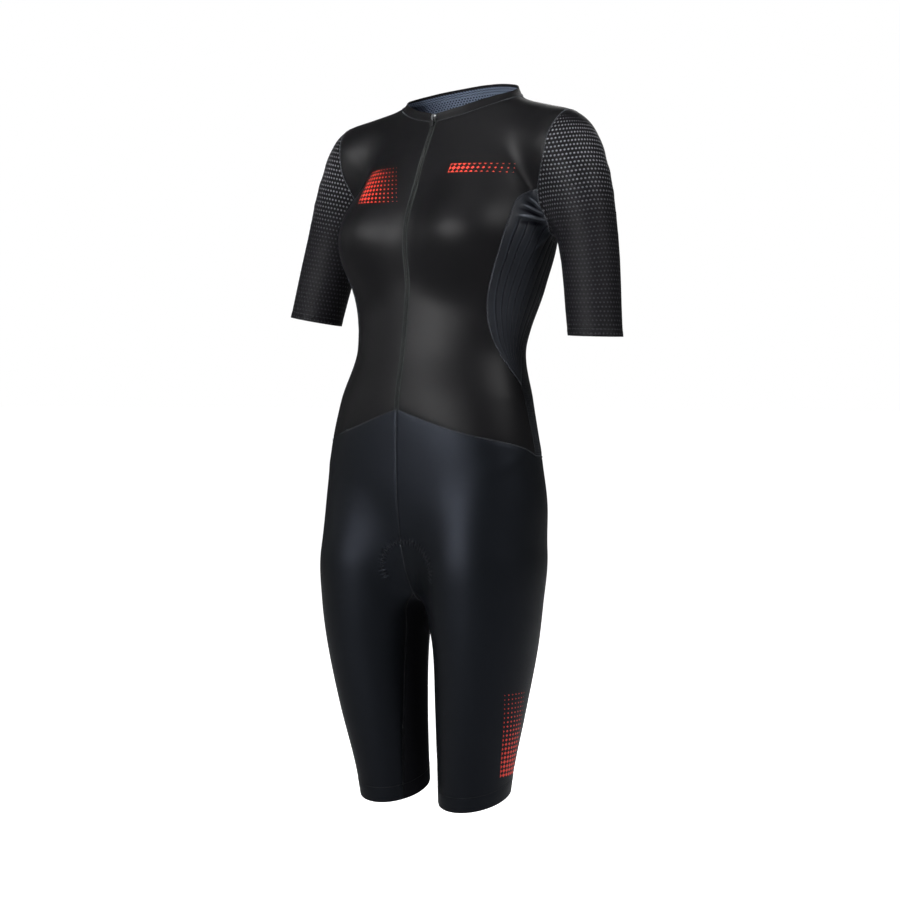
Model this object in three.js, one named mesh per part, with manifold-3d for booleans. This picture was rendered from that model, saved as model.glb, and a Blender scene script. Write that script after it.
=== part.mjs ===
// A short-sleeved, one-piece triathlon suit, filled out as if worn.
// Millimetres, +Z up, front towards -Y, the wearer's left at +X.
// The origin is the middle of the line between the shoulders, where the wearer carries the suit.
import * as THREE from "three";
import { mergeVertices } from "three/addons/utils/BufferGeometryUtils.js";
import Module from "manifold-3d";

// Cloth and seams; the side panel's net is denser towards the armhole by the power SIDE_DENSE
const WALL = 1.5;
const SEAM_GAP = 0.3;
const RIB_HEIGHT = 0.6;
const RIBS = 8;
const COLUMNS_PER_RIB = 3;
const SIDE_DENSE = 1.5;
const SIDE_LENGTH = 215;
const ZIP_HALF_WIDTH = 4;
const BAND_HEIGHT = 12;
const PAD_THICKNESS = 4;
const PAD_GAP = 1.6;

// Samples along each seam, shared by the pieces that meet there
const COUNT = {
  neckFront: 5,
  neckBack: 10,
  shoulder: 5,
  waist: 10,
  side: 4,
  rib: 10,
  armFront: 7,
  armUnder: RIBS,
  armBack: 7,
  rise: 8,
  innerLeg: 10,
  crotch: 6,
  sleeve: 9,
  band: 2,
  padAlong: 14,
  padAcross: 8,
};

// A table with named columns, a row for each section
function table(names, rows) {
  const keys = names.split(" ");
  return rows.map((row) => Object.fromEntries(keys.map((key, i) => [key, row[i]])));
}

// The general figure that fills the suit: level sections of the trunk, from the crotch to the neck
const TRUNK = table("z halfWidth front back frontSquare backSquare", [
  [-640, 80, -90, 0, 2.1, 2.1],
  [-590, 125, -117, 36, 2.6, 1.9],
  [-530, 151, -130, 62, 2.6, 1.9],
  [-466, 151, -134, 61, 2.6, 2.0],
  [-385, 138, -132, 57, 2.2, 2.0],
  [-317, 121, -118, 63, 2.0, 2.0],
  [-236, 138, -107, 84, 1.9, 2.2],
  [-160, 147, -97, 98, 2.0, 2.5],
  [-90, 126, -83, 98, 2.3, 2.3],
  [-30, 96, -53, 92, 2.1, 2.1],
  [30, 60, -20, 85, 2.0, 2.0],
]);

// Level sections of the left leg, from below the hem to inside the hip
const LEG = table("z x y halfWidth halfDepth", [
  [-1000, 56, -40, 42, 44],
  [-884, 65, -46, 48, 51],
  [-790, 77, -51, 58, 63],
  [-709, 85, -52, 66, 75],
  [-650, 84, -52, 74, 83],
  [-590, 83, -48, 77, 91],
  [-530, 82, -42, 68, 84],
  [-460, 80, -35, 45, 58],
]);

// Round sections along the left arm, the shoulder and the neck
const ARM = table("x y z radius", [
  [128, 26, -52, 38],
  [169, 19, -78, 49.5],
  [204, 8, -174, 39.5],
  [225, -12, -290, 35.5],
  [238, -22, -350, 33],
]);
const SHOULDER = table("x y z radius", [
  [30, 42, -24, 57],
  [152, 20, -50, 50],
]);
const NECK = table("x y z radius", [
  [0, 48, -10, 71],
  [0, 8, 90, 69],
]);
const CUP = { x: 64, y: -57, z: -172, radius: 67 };

// How widely the forms flow into each other
const BLEND = { cap: 20, shoulder: 40, cup: 45, crotch: 22, hip: 30, neck: 22, arm: 24 };
const ARM_STEPS = 4;

// Places on the left half of the suit that its seams run through
const MARK = {
  waistPeak: [0, -133, -397],
  waistSide: [151, -34, -456],
  waistBack: [0, 61, -450],
  sideTip: [132, -40, -364],
  shoulderMiddle: [128, 27, 8],
  shoulderTop: [172, 14, -5],
  ribFrontTop: [146, -19, -110],
  ribBackTop: [149, 38, -158],
  crotchFront: [0, -98, -637],
  crotchBack: [0, -8, -634],
};
const WAIST_FRONT = [
  [4, -133, -397],
  [30, -133, -406],
  [65, -128, -418],
  [102, -115, -429],
  [134, -89, -438],
  [148, -56, -447],
  MARK.waistSide,
];
const WAIST_BACK = [MARK.waistSide, [147, 0, -458], [125, 36, -458], [75, 56, -455], MARK.waistBack];
const SIDE_SEAM = [MARK.waistSide, [148, -35, -436], [141, -39, -398], MARK.sideTip];
const RIB_FRONT = [
  MARK.sideTip,
  [121, -55, -339],
  [108, -67, -310],
  [103, -73, -285],
  [103, -76, -256],
  [110, -80, -231],
  [121, -84, -205],
  [129, -79, -170],
  [130, -66, -148],
  [131, -50, -126],
  [137, -31, -113],
  MARK.ribFrontTop,
];
const RIB_BACK = [
  MARK.sideTip,
  [127, -26, -340],
  [122, -8, -300],
  [128, 10, -250],
  [140, 26, -205],
  MARK.ribBackTop,
];
const ARM_FRONT = [
  MARK.ribFrontTop,
  [150, -25, -99],
  [160, -32, -71],
  [165, -29, -43],
  [170, -19, -24],
  MARK.shoulderTop,
];
const ARM_UNDER = [
  MARK.ribFrontTop,
  [145, -11, -134],
  [149, -5, -152],
  [148, 6, -168],
  [147, 18, -176],
  [148, 30, -171],
  MARK.ribBackTop,
];
const ARM_BACK = [
  MARK.ribBackTop,
  [152, 50, -128],
  [158, 57, -98],
  [165, 56, -62],
  [171, 38, -20],
  MARK.shoulderTop,
];
const BAND_TOP = [
  [0, -41, -3],
  [30, -35, 3],
  [56, -18, 13],
  [74, 5, 22],
  [78, 27, 29],
  [70, 60, 41],
  [42, 90, 51],
  [0, 103, 56],
];
const FRONT_RISE = [MARK.waistPeak, [0, -135, -440], [0, -131, -520], [0, -124, -570], MARK.crotchFront];
const BACK_RISE = [MARK.waistBack, [0, 60, -530], [0, 36, -590], MARK.crotchBack];
const CROTCH = [MARK.crotchFront, [0, -52, -645], MARK.crotchBack];
const INNER_FRONT = [MARK.crotchFront, [9, -91, -655], [20, -80, -690], [25, -79, -755], [26, -80, -821]];
const INNER_BACK = [MARK.crotchBack, [9, -14, -655], [22, -18, -690], [27, -22, -755], [27, -24, -821]];

// Hems: level of the plane at a place on the limb, and how it rises along X and Y
const LEG_HEM = { x: 65, y: -92, z: -917, alongX: 0, alongY: 0.3, frontAngle: 222, backAngle: 148 };
const LEG_CENTRE = { x: 62, y: -46 };
const SLEEVE_HEM = {
  left: { x: 222, y: -10, z: -302, alongX: -0.03, alongY: 0 },
  right: { x: 222, y: -10, z: -275, alongX: 0.18, alongY: -0.05 },
};

// Folds that the sleeve pulls in the ribbed panel, from the armhole down
const ARMPIT_FOLDS = table("below width height", [
  [9, 4, 1.6],
  [22, 5, 1.2],
]);

// The seat pad runs from the front of the crotch to the seat, a row for each place along it
const PAD_PATH = [[0, -124, -569], [0, -110, -615], MARK.crotchFront, [0, -52, -645], MARK.crotchBack, [0, 32, -596]];
const PAD_WIDTH = table("along half", [
  [0, 9],
  [0.06, 26],
  [0.16, 36],
  [0.3, 34],
  [0.5, 26],
  [0.7, 34],
  [0.85, 48],
  [0.95, 36],
  [1, 14],
]);

// Zip slider and pull tab, in the slider's own frame: X across, Z up the zip, -Y outwards
const SLIDER = { drop: 8, length: 10, width: 7.4, waist: 6, thickness: 2.6, clearance: 0.3 };
const BRIDGE = { length: 7.6, height: 3.1, bar: 1, width: 1.8 };
const TAB = { width: 5.8, length: 13.5, thickness: 1, bar: 1.1, window: 4.75, windowWidth: 2.5, tip: 1.6 };
const COIL = table("across rise", [
  [-4, 0],
  [-2.7, 0],
  [-2, 0.9],
  [2, 0.9],
  [2.7, 0],
  [4, 0],
]);

// A smooth reading between a table's rows: a cubic through each row with its neighbours' mean slope
function reading(rows, key, column, at) {
  const last = rows.length - 1;
  const x = THREE.MathUtils.clamp(at, rows[0][key], rows[last][key]);
  let i = 0;
  while (i < last - 1 && x > rows[i + 1][key]) {
    i += 1;
  }
  const slope = (k) => {
    const before = rows[Math.max(k - 1, 0)];
    const after = rows[Math.min(k + 1, last)];
    return (after[column] - before[column]) / (after[key] - before[key]);
  };
  const span = rows[i + 1][key] - rows[i][key];
  const t = (x - rows[i][key]) / span;
  const ease = t * t * (3 - 2 * t);
  const bend = t * (1 - t) * span * ((1 - t) * slope(i) - t * slope(i + 1));
  return rows[i][column] * (1 - ease) + rows[i + 1][column] * ease + bend;
}

function blend(a, b, width) {
  const h = Math.max(width - Math.abs(a - b), 0) / width;
  return Math.min(a, b) - (h * h * width) / 4;
}

function cap(a, b) {
  return -blend(-a, -b, BLEND.cap);
}

// How far a point lies outside a level section, measured level from the section's middle
function outsideSection(dx, dy, halfWidth, halfDepth, square) {
  const r = Math.hypot(dx, dy) + 1e-6;
  const across = Math.abs(dx / halfWidth) ** square;
  const along = Math.abs(dy / halfDepth) ** square;
  return r - r / ((across + along) ** (1 / square) + 1e-9);
}

function outsideCapsule(x, y, z, a, b) {
  const d = [b.x - a.x, b.y - a.y, b.z - a.z];
  const along = (x - a.x) * d[0] + (y - a.y) * d[1] + (z - a.z) * d[2];
  const t = THREE.MathUtils.clamp(along / (d[0] ** 2 + d[1] ** 2 + d[2] ** 2), 0, 1);
  const away = Math.hypot(x - a.x - t * d[0], y - a.y - t * d[1], z - a.z - t * d[2]);
  return away - a.radius - (b.radius - a.radius) * t;
}

// The arm's rows with smooth ones between them
function refined(rows, steps) {
  const numbered = rows.map((row, i) => ({ ...row, i }));
  const count = (rows.length - 1) * steps;
  return Array.from({ length: count + 1 }, (_, k) => {
    const read = (column) => reading(numbered, "i", column, k / steps);
    return { x: read("x"), y: read("y"), z: read("z"), radius: read("radius") };
  });
}
const ARM_ROWS = refined(ARM, ARM_STEPS);

function outsideTrunk(x, y, z) {
  const front = reading(TRUNK, "z", "front", z);
  const back = reading(TRUNK, "z", "back", z);
  const middle = (front + back) / 2;
  const square = reading(TRUNK, "z", y < middle ? "frontSquare" : "backSquare", z);
  const halfWidth = reading(TRUNK, "z", "halfWidth", z);
  let f = outsideSection(x, y - middle, halfWidth, (back - front) / 2, square);
  f = cap(f, z - TRUNK[TRUNK.length - 1].z);
  f = cap(f, TRUNK[0].z - z);
  f = blend(f, outsideCapsule(Math.abs(x), y, z, SHOULDER[0], SHOULDER[1]), BLEND.shoulder);
  for (const side of [1, -1]) {
    const cup = Math.hypot(x - side * CUP.x, y - CUP.y, z - CUP.z) - CUP.radius;
    f = blend(f, cup, BLEND.cup);
  }
  return f;
}

function outsideLeg(x, y, z, side) {
  const dx = x - side * reading(LEG, "z", "x", z);
  const dy = y - reading(LEG, "z", "y", z);
  const halfWidth = reading(LEG, "z", "halfWidth", z);
  const halfDepth = reading(LEG, "z", "halfDepth", z);
  const f = outsideSection(dx, dy, halfWidth, halfDepth, 2);
  return cap(f, z - LEG[LEG.length - 1].z);
}

// How far a point lies outside the figure, roughly
function outside(x, y, z) {
  const legs = blend(outsideLeg(x, y, z, 1), outsideLeg(x, y, z, -1), BLEND.crotch);
  let f = blend(outsideTrunk(x, y, z), legs, BLEND.hip);
  f = blend(f, outsideCapsule(x, y, z, NECK[0], NECK[1]), BLEND.neck);
  let arm = Infinity;
  for (let i = 0; i < ARM_ROWS.length - 1; i += 1) {
    arm = Math.min(arm, outsideCapsule(Math.abs(x), y, z, ARM_ROWS[i], ARM_ROWS[i + 1]));
  }
  return blend(f, arm, BLEND.arm);
}

function slopeAt(p) {
  const e = 0.5;
  return new THREE.Vector3(
    outside(p.x + e, p.y, p.z) - outside(p.x - e, p.y, p.z),
    outside(p.x, p.y + e, p.z) - outside(p.x, p.y - e, p.z),
    outside(p.x, p.y, p.z + e) - outside(p.x, p.y, p.z - e),
  ).divideScalar(2 * e);
}

// Moves a point onto the figure's surface
function settled(point, onCentre = false) {
  const p = point.clone();
  const longestStep = 12;
  for (let turn = 0; turn < 12; turn += 1) {
    const slope = slopeAt(p);
    const length = slope.length();
    const step = THREE.MathUtils.clamp(-outside(p.x, p.y, p.z) / length, -longestStep, longestStep);
    p.addScaledVector(slope, step / length);
    if (onCentre) {
      p.x = 0;
    }
  }
  return p;
}

// Points on the figure along a smooth line through marks, closer together at its end where dense > 1
function seam(marks, count, dense = 1) {
  const onCentre = marks.every((mark) => mark[0] === 0);
  let length = 0;
  const rows = marks.map(([x, y, z], i) => {
    const before = marks[Math.max(i - 1, 0)];
    length += Math.hypot(x - before[0], y - before[1], z - before[2]);
    return { length, x, y, z };
  });
  return Array.from({ length: count + 1 }, (_, i) => {
    const at = (1 - (1 - i / count) ** dense) * length;
    const read = (column) => reading(rows, "length", column, at);
    return settled(new THREE.Vector3(read("x"), read("y"), read("z")), onCentre);
  });
}

const reversed = (points) => [...points].reverse();
const mirrored = (points) => points.map((p) => new THREE.Vector3(-p.x, p.y, p.z));
const joined = (...lines) => lines.flatMap((line, i) => (i ? line.slice(1) : line));

// Where the figure meets a hem's plane, at an angle seen from above
const HEM_SEARCH = { radii: [5, 70], turns: 30 };
function hemPoint(hem, centre, degrees) {
  const angle = THREE.MathUtils.degToRad(degrees);
  const at = (r) => {
    const x = centre.x + r * Math.cos(angle);
    const y = centre.y + r * Math.sin(angle);
    return new THREE.Vector3(x, y, hem.z + hem.alongX * (x - hem.x) + hem.alongY * (y - hem.y));
  };
  let [low, high] = HEM_SEARCH.radii;
  for (let turn = 0; turn < HEM_SEARCH.turns; turn += 1) {
    const middle = (low + high) / 2;
    const p = at(middle);
    if (outside(p.x, p.y, p.z) < 0) {
      low = middle;
    } else {
      high = middle;
    }
  }
  return at((low + high) / 2);
}

function hemLine(hem, centre, from, to, count) {
  return Array.from({ length: count + 1 }, (_, i) => hemPoint(hem, centre, from + ((to - from) * i) / count));
}

// Evens out a net's inner points and settles them on the figure again
const EVENING_TURNS = 6;
const EVENING_SHARE = 0.6;
function evened(points, loop = false) {
  let now = points;
  for (let turn = 0; turn < EVENING_TURNS; turn += 1) {
    const was = now;
    now = was.map((row, j) =>
      row.map((p, i) => {
        const columns = row.length;
        const fixed = j === 0 || j === was.length - 1 || (!loop && (i === 0 || i === columns - 1));
        if (fixed) {
          return p;
        }
        const sides = row[(i + 1) % columns].clone().add(row[(i - 1 + columns) % columns]);
        const mean = sides.add(was[j - 1][i]).add(was[j + 1][i]).divideScalar(4);
        return settled(p.clone().lerp(mean, EVENING_SHARE));
      }),
    );
  }
  return now;
}

// A net of points between four seams, settled on the figure
function net({ left, right, bottom, top }) {
  const rows = left.length - 1;
  const columns = bottom.length - 1;
  const mix = (a, b, t) => a.clone().lerp(b, t);
  const points = left.map((leftPoint, j) =>
    bottom.map((bottomPoint, i) => {
      const u = i / columns;
      const v = j / rows;
      const onEdge = { [0]: leftPoint, [columns]: right[j] }[i] ?? { [0]: bottomPoint, [rows]: top[i] }[j];
      if (onEdge) {
        return onEdge.clone();
      }
      const corners = mix(mix(bottom[0], bottom[columns], u), mix(top[0], top[columns], u), v);
      const p = mix(leftPoint, right[j], u).add(mix(bottomPoint, top[i], v)).sub(corners);
      return settled(p);
    }),
  );
  return evened(points);
}

// Half the seam's gap, square to an edge and into the piece
function edgeInset(point, normal, before, after, inner) {
  const side = new THREE.Vector3().crossVectors(normal, after.clone().sub(before)).normalize();
  const inward = Math.sign(side.dot(inner.clone().sub(point))) || 1;
  return side.multiplyScalar((inward * SEAM_GAP) / 2);
}

// Straight runs between every few points of a row, as a neighbour with fewer points has them
function straightened(row, step) {
  row.forEach((p, i) => {
    const start = i - (i % step);
    const end = Math.min(start + step, row.length - 1);
    if (i !== start) {
      p.lerpVectors(row[start], row[end], (i - start) / (end - start || 1));
    }
  });
}

// A cloth wall on a net. lift(u, v) moves both faces out and rib(i, v) raises the outer face alone.
function wall(points, options = {}) {
  const { lift = () => 0, rib = () => 0, depth = 0, thickness = WALL, loop = false, tip = 0, topStep = 1 } = options;
  const rows = points.length;
  const columns = points[0].length;
  const normals = points.map((row) => row.map((p) => slopeAt(p).normalize()));
  const at = (j, i) => points[THREE.MathUtils.clamp(j, 0, rows - 1)][THREE.MathUtils.clamp(i, 0, columns - 1)];
  const moved = points.map((row, j) =>
    row.map((p, i) => {
      const shift = new THREE.Vector3();
      if (tip && j === 0) {
        return p.clone().add(at(1, Math.floor(columns / 2)).clone().sub(p).setLength(tip));
      }
      if (!loop && (i === 0 || i === columns - 1)) {
        const inner = at(j, i === 0 ? 1 : i - 1);
        shift.add(edgeInset(p, normals[j][i], at(j - 1, i), at(j + 1, i), inner));
      }
      if (j === 0 || j === rows - 1) {
        const inner = at(j === 0 ? 1 : j - 1, i);
        const before = loop ? points[j][(i - 1 + columns) % columns] : at(j, i - 1);
        const after = loop ? points[j][(i + 1) % columns] : at(j, i + 1);
        shift.add(edgeInset(p, normals[j][i], before, after, inner));
      }
      return p.clone().add(shift);
    }),
  );
  straightened(moved[rows - 1], topStep);
  straightened(normals[rows - 1], topStep);
  const positions = [];
  for (const face of ["outer", "inner"]) {
    moved.forEach((row, j) =>
      row.forEach((p, i) => {
        const v = j / (rows - 1);
        const out = lift(i / (columns - 1), v) - depth + (face === "outer" ? rib(i, v) : -thickness);
        positions.push(...p.clone().addScaledVector(normals[j][i], out).toArray());
      }),
    );
  }
  const inner = rows * columns;
  const index = [];
  const quad = (a, b, c, d) => index.push(a, b, c, a, c, d);
  const flatNormals = normals.flat();
  // Splits a cloth face along the diagonal whose ends face most alike
  const clothQuad = (a, b, c, d) => {
    const [na, nb, nc, nd] = [a, b, c, d].map((k) => flatNormals[k % inner]);
    if (na.dot(nc) >= nb.dot(nd)) {
      quad(a, b, c, d);
    } else {
      quad(b, c, d, a);
    }
  };
  const spans = loop ? columns : columns - 1;
  for (let j = 0; j < rows - 1; j += 1) {
    for (let i = 0; i < spans; i += 1) {
      const k = (i + 1) % columns;
      const a = j * columns + i;
      const b = j * columns + k;
      clothQuad(a, b, b + columns, a + columns);
      clothQuad(inner + a, inner + a + columns, inner + b + columns, inner + b);
    }
    if (!loop) {
      const a = j * columns;
      const b = a + columns - 1;
      quad(a, a + columns, inner + a + columns, inner + a);
      quad(b, inner + b, inner + b + columns, b + columns);
    }
  }
  for (let i = 0; i < spans; i += 1) {
    const k = (i + 1) % columns;
    const top = (rows - 1) * columns;
    quad(i, inner + i, inner + k, k);
    quad(top + i, top + k, inner + top + k, inner + top + i);
  }
  const across = points[1][1].clone().sub(points[1][0]);
  const up = points[2]?.[0] ?? points[1][0];
  const facing = new THREE.Vector3().crossVectors(across, up.clone().sub(points[0][0])).dot(normals[1][0]);
  if (facing < 0) {
    index.reverse();
  }
  const geometry = new THREE.BufferGeometry();
  geometry.setAttribute("position", new THREE.Float32BufferAttribute(positions, 3));
  geometry.setIndex(index);
  return cleaned(geometry);
}

// Merges equal points and drops the faces that this closes up
function cleaned(geometry) {
  const merged = mergeVertices(geometry, 1e-3);
  const kept = [];
  const index = merged.index.array;
  for (let i = 0; i < index.length; i += 3) {
    const [a, b, c] = [index[i], index[i + 1], index[i + 2]];
    if (a !== b && b !== c && c !== a) {
      kept.push(a, b, c);
    }
  }
  merged.setIndex(kept);
  merged.computeVertexNormals();
  return merged;
}

// Seams of the left half
const waistFront = seam(WAIST_FRONT, COUNT.waist);
const waistBack = seam(WAIST_BACK, COUNT.waist);
const sideSeam = seam(SIDE_SEAM, COUNT.side);
const ribFront = seam(RIB_FRONT, COUNT.rib, SIDE_DENSE);
const ribBack = seam(RIB_BACK, COUNT.rib, SIDE_DENSE);
const armFront = seam(ARM_FRONT, COUNT.armFront);
const armUnder = seam(ARM_UNDER, COUNT.armUnder);
const armBack = seam(ARM_BACK, COUNT.armBack);
const frontRise = seam(FRONT_RISE, COUNT.rise);
const backRise = seam(BACK_RISE, COUNT.rise);
const crotch = seam(CROTCH, COUNT.crotch);

// The neckband's top ring, and the neck seam one band's height down the figure from it
const bandTopHalf = seam(BAND_TOP, COUNT.neckFront + COUNT.neckBack / 2);
bandTopHalf[0] = settled(new THREE.Vector3(ZIP_HALF_WIDTH, BAND_TOP[0][1], BAND_TOP[0][2]));
function belowRing(ring, drop, steps = 4) {
  return ring.map((start, i) => {
    const before = ring[Math.max(i - 1, 0)];
    const after = ring[Math.min(i + 1, ring.length - 1)];
    const along = after.clone().sub(before);
    let p = start.clone();
    for (let step = 0; step < steps; step += 1) {
      const down = new THREE.Vector3().crossVectors(slopeAt(p), along).normalize();
      down.multiplyScalar(Math.sign(-down.z || 1) * (drop / steps));
      p = settled(p.add(down));
    }
    if (i === 0 || i === ring.length - 1) {
      p.x = start.x;
      p = settled(p);
    }
    return p;
  });
}
const neckSeamHalf = belowRing(bandTopHalf, BAND_HEIGHT);
const neckFront = neckSeamHalf.slice(0, COUNT.neckFront + 1);
const neckBackHalf = neckSeamHalf.slice(COUNT.neckFront);
const shoulderMarks = [neckFront[COUNT.neckFront].toArray(), MARK.shoulderMiddle, MARK.shoulderTop];
const shoulder = seam(shoulderMarks, COUNT.shoulder);
shoulder[0] = neckFront[COUNT.neckFront].clone();

// The zip's left edge, from the waist seam up to the neck seam and on to the band's top
const ZIP_EDGE = [
  [4, -133, -397],
  [4, -124, -346],
  [4, -115, -296],
  [4, -109, -248],
  [4, -107, -196],
  [4, -103, -151],
  [4, -91, -110],
  [4, -74, -69],
  neckFront[0].toArray(),
];
const zipEdge = seam(ZIP_EDGE, COUNT.side + COUNT.rib + COUNT.armFront);
const bandEdge = seam([neckFront[0].toArray(), bandTopHalf[0].toArray()], COUNT.band);

// Hems and inner-leg seams
const shortsColumns = 2 * COUNT.waist + 1;
const legHemOuter = hemLine(LEG_HEM, LEG_CENTRE, LEG_HEM.frontAngle, 360 + LEG_HEM.backAngle, shortsColumns);
const legHemInner = hemLine(LEG_HEM, LEG_CENTRE, LEG_HEM.frontAngle, LEG_HEM.backAngle, COUNT.crotch);
const innerFront = seam([...INNER_FRONT, legHemInner[0].toArray()], COUNT.innerLeg);
const innerBack = seam([...INNER_BACK, legHemInner[COUNT.crotch].toArray()], COUNT.innerLeg);
innerFront[COUNT.innerLeg] = legHemInner[0].clone();
innerBack[COUNT.innerLeg] = legHemInner[COUNT.crotch].clone();

// Nets of the left half and of the pieces that cross the middle
const frontNet = net({
  left: zipEdge,
  right: joined(sideSeam, ribFront, armFront),
  bottom: waistFront,
  top: joined(neckFront, shoulder),
});
const backEdge = joined(sideSeam, ribBack, armBack);
const halfBackTop = joined(reversed(neckBackHalf), shoulder);
const halfBackWaist = reversed(waistBack);
const backNet = net({
  left: mirrored(backEdge),
  right: backEdge,
  bottom: joined(mirrored(reversed(halfBackWaist)), halfBackWaist),
  top: joined(mirrored(reversed(halfBackTop)), halfBackTop),
});
const underEdge = armUnder.flatMap((p, i) => {
  const next = armUnder[i + 1];
  const parts = next ? COLUMNS_PER_RIB : 1;
  return Array.from({ length: parts }, (_, k) => (next ? p.clone().lerp(next, k / parts) : p.clone()));
});
const sideNet = net({
  left: ribFront,
  right: ribBack,
  bottom: underEdge.map(() => ribFront[0].clone()),
  top: underEdge,
});
const shortsNet = net({
  left: reversed(joined(frontRise, innerFront)),
  right: reversed(joined(backRise, innerBack)),
  bottom: legHemOuter,
  top: [frontRise[0], ...waistFront, ...waistBack.slice(1)],
});
const innerLegNet = net({
  left: reversed(innerFront),
  right: reversed(innerBack),
  bottom: legHemInner,
  top: crotch,
});
const bandRing = (half) => joined(half, mirrored(reversed(half)));
const bandNet = net({
  left: bandEdge,
  right: mirrored(bandEdge),
  bottom: bandRing(neckSeamHalf),
  top: bandRing(bandTopHalf),
});
const zipRows = joined(zipEdge, bandEdge);
const zipNet = zipRows.map((p) => COIL.map(({ across }) => {
  if (Math.abs(across) === ZIP_HALF_WIDTH) {
    return new THREE.Vector3(across, p.y, p.z);
  }
  return settled(new THREE.Vector3(across, p.y, p.z));
}));

// A sleeve net: rings from the armhole to the hem, settled on the arm
function sleeveNet(hem) {
  const armhole = joined(reversed(armFront), armUnder, armBack).slice(0, -1);
  const count = armhole.length;
  const points = Array.from({ length: COUNT.sleeve + 1 }, (_, j) =>
    armhole.map((start, i) => {
      const end = hemPoint(hem, hem, -(360 * i) / count);
      const t = j / COUNT.sleeve;
      if (j === 0 || j === COUNT.sleeve) {
        return j ? end : start.clone();
      }
      return settled(start.clone().lerp(end, t));
    }),
  );
  return evened(points, true);
}

// The seat pad's net: steps to each side of its path, over the figure's surface
function padNet() {
  const path = seam(PAD_PATH, COUNT.padAlong);
  const half = COUNT.padAcross / 2;
  return path.map((middle, j) => {
    const before = path[Math.max(j - 1, 0)];
    const after = path[Math.min(j + 1, path.length - 1)];
    const along = after.clone().sub(before);
    const stride = reading(PAD_WIDTH, "along", "half", j / COUNT.padAlong) / half;
    const sides = [middle.clone()];
    for (let i = 0; i < half; i += 1) {
      const p = sides[i];
      const step = new THREE.Vector3().crossVectors(along, slopeAt(p)).setLength(stride);
      step.multiplyScalar(Math.sign(step.x) || 1);
      sides.push(settled(p.clone().add(step)));
    }
    return joined(mirrored(reversed(sides)), sides);
  });
}

// Ribs and folds of the side panel
function sideRib(i, v) {
  const onRib = i % COLUMNS_PER_RIB !== 0;
  const fade = THREE.MathUtils.smoothstep(v, 0.1, 0.45);
  return onRib ? RIB_HEIGHT * fade : 0;
}
function armpitFold(u, v) {
  const below = (1 - v) ** SIDE_DENSE * SIDE_LENGTH;
  const across = Math.sin(Math.PI * u) ** 0.5 || 0;
  return ARMPIT_FOLDS.reduce((sum, fold) => {
    const away = (below - fold.below) / fold.width;
    return sum + fold.height * across * Math.exp(-away * away);
  }, 0);
}

// Cloth and metal finishes
const finish = (color, roughness, metalness = 0) => new THREE.MeshStandardMaterial({ color, roughness, metalness });
const LOOKS = {
  bodice: finish(0x232124, 0.62),
  rib: finish(0x24262c, 0.7),
  sleeve: finish(0x2b2b2f, 0.72),
  mesh: finish(0x3a4350, 0.8),
  band: finish(0x252428, 0.65),
  shorts: finish(0x1d2327, 0.5),
  innerLeg: finish(0x0b0c0d, 0.75),
  pad: finish(0x15171a, 0.85),
  zip: finish(0x3c4340, 0.6),
  slider: finish(0xc4c7c9, 0.3, 0.9),
  tab: finish(0x111214, 0.45),
};

const suit = new THREE.Group();
function piece(name, geometry, material, parent = suit) {
  const mesh = new THREE.Mesh(geometry, material);
  mesh.name = name;
  parent.add(mesh);
  return mesh;
}

// Cloth pieces in pairs
const PAIRS = [
  ["front", frontNet, LOOKS.bodice, {}],
  ["side", sideNet, LOOKS.rib, { rib: sideRib, lift: armpitFold, tip: 1, topStep: COLUMNS_PER_RIB }],
  ["shorts", shortsNet, LOOKS.shorts, {}],
  ["inner_leg", innerLegNet, LOOKS.innerLeg, {}],
];
for (const [name, points, look, options] of PAIRS) {
  piece(`${name}_left`, wall(points, options), look);
  piece(`${name}_right`, wall(points.map(mirrored), options), look);
}
piece("sleeve_left", wall(sleeveNet(SLEEVE_HEM.left), { loop: true }), LOOKS.sleeve);
piece("sleeve_right", wall(sleeveNet(SLEEVE_HEM.right).map(mirrored), { loop: true }), LOOKS.sleeve);

// Cloth pieces that cross the middle
piece("back", wall(backNet), LOOKS.mesh);
piece("neckband", wall(bandNet), LOOKS.band);
piece("zip_strip", wall(zipNet, { rib: (i) => COIL[i].rise }), LOOKS.zip);
piece("seat_pad", wall(padNet(), { depth: WALL + PAD_GAP, thickness: PAD_THICKNESS }), LOOKS.pad);

// Zip slider and pull tab
const wasm = await Module();
wasm.setup();

function solid(geometry) {
  const bare = geometry.clone().deleteAttribute("normal").deleteAttribute("uv");
  const merged = mergeVertices(bare, 1e-4);
  return new wasm.Manifold(
    new wasm.Mesh({
      numProp: 3,
      vertProperties: merged.attributes.position.array,
      triVerts: new Uint32Array(merged.index.array),
    }),
  );
}

function fromSolid(made) {
  const { vertProperties, triVerts } = made.getMesh();
  const geometry = new THREE.BufferGeometry();
  geometry.setAttribute("position", new THREE.BufferAttribute(vertProperties, 3));
  geometry.setIndex(new THREE.BufferAttribute(triVerts, 1));
  geometry.computeVertexNormals();
  return geometry;
}

// A flat piece drawn in X and Z, thickening towards -Y from the plane y = 0
function facePlate(shape, thickness) {
  const geometry = new THREE.ExtrudeGeometry(shape, { depth: thickness, bevelEnabled: false, curveSegments: 4 });
  return geometry.rotateX(Math.PI / 2);
}

function sliderBody() {
  const { length, width, waist, thickness } = SLIDER;
  const shape = new THREE.Shape();
  shape.moveTo(-waist / 2, -length / 2);
  shape.lineTo(waist / 2, -length / 2);
  shape.lineTo(waist / 2, -length / 10);
  shape.quadraticCurveTo(width / 2, length / 12, width / 2, length / 4);
  shape.quadraticCurveTo(width / 2, length / 2, 0, length / 2);
  shape.quadraticCurveTo(-width / 2, length / 2, -width / 2, length / 4);
  shape.quadraticCurveTo(-width / 2, length / 12, -waist / 2, -length / 10);
  return facePlate(shape, thickness);
}

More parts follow.
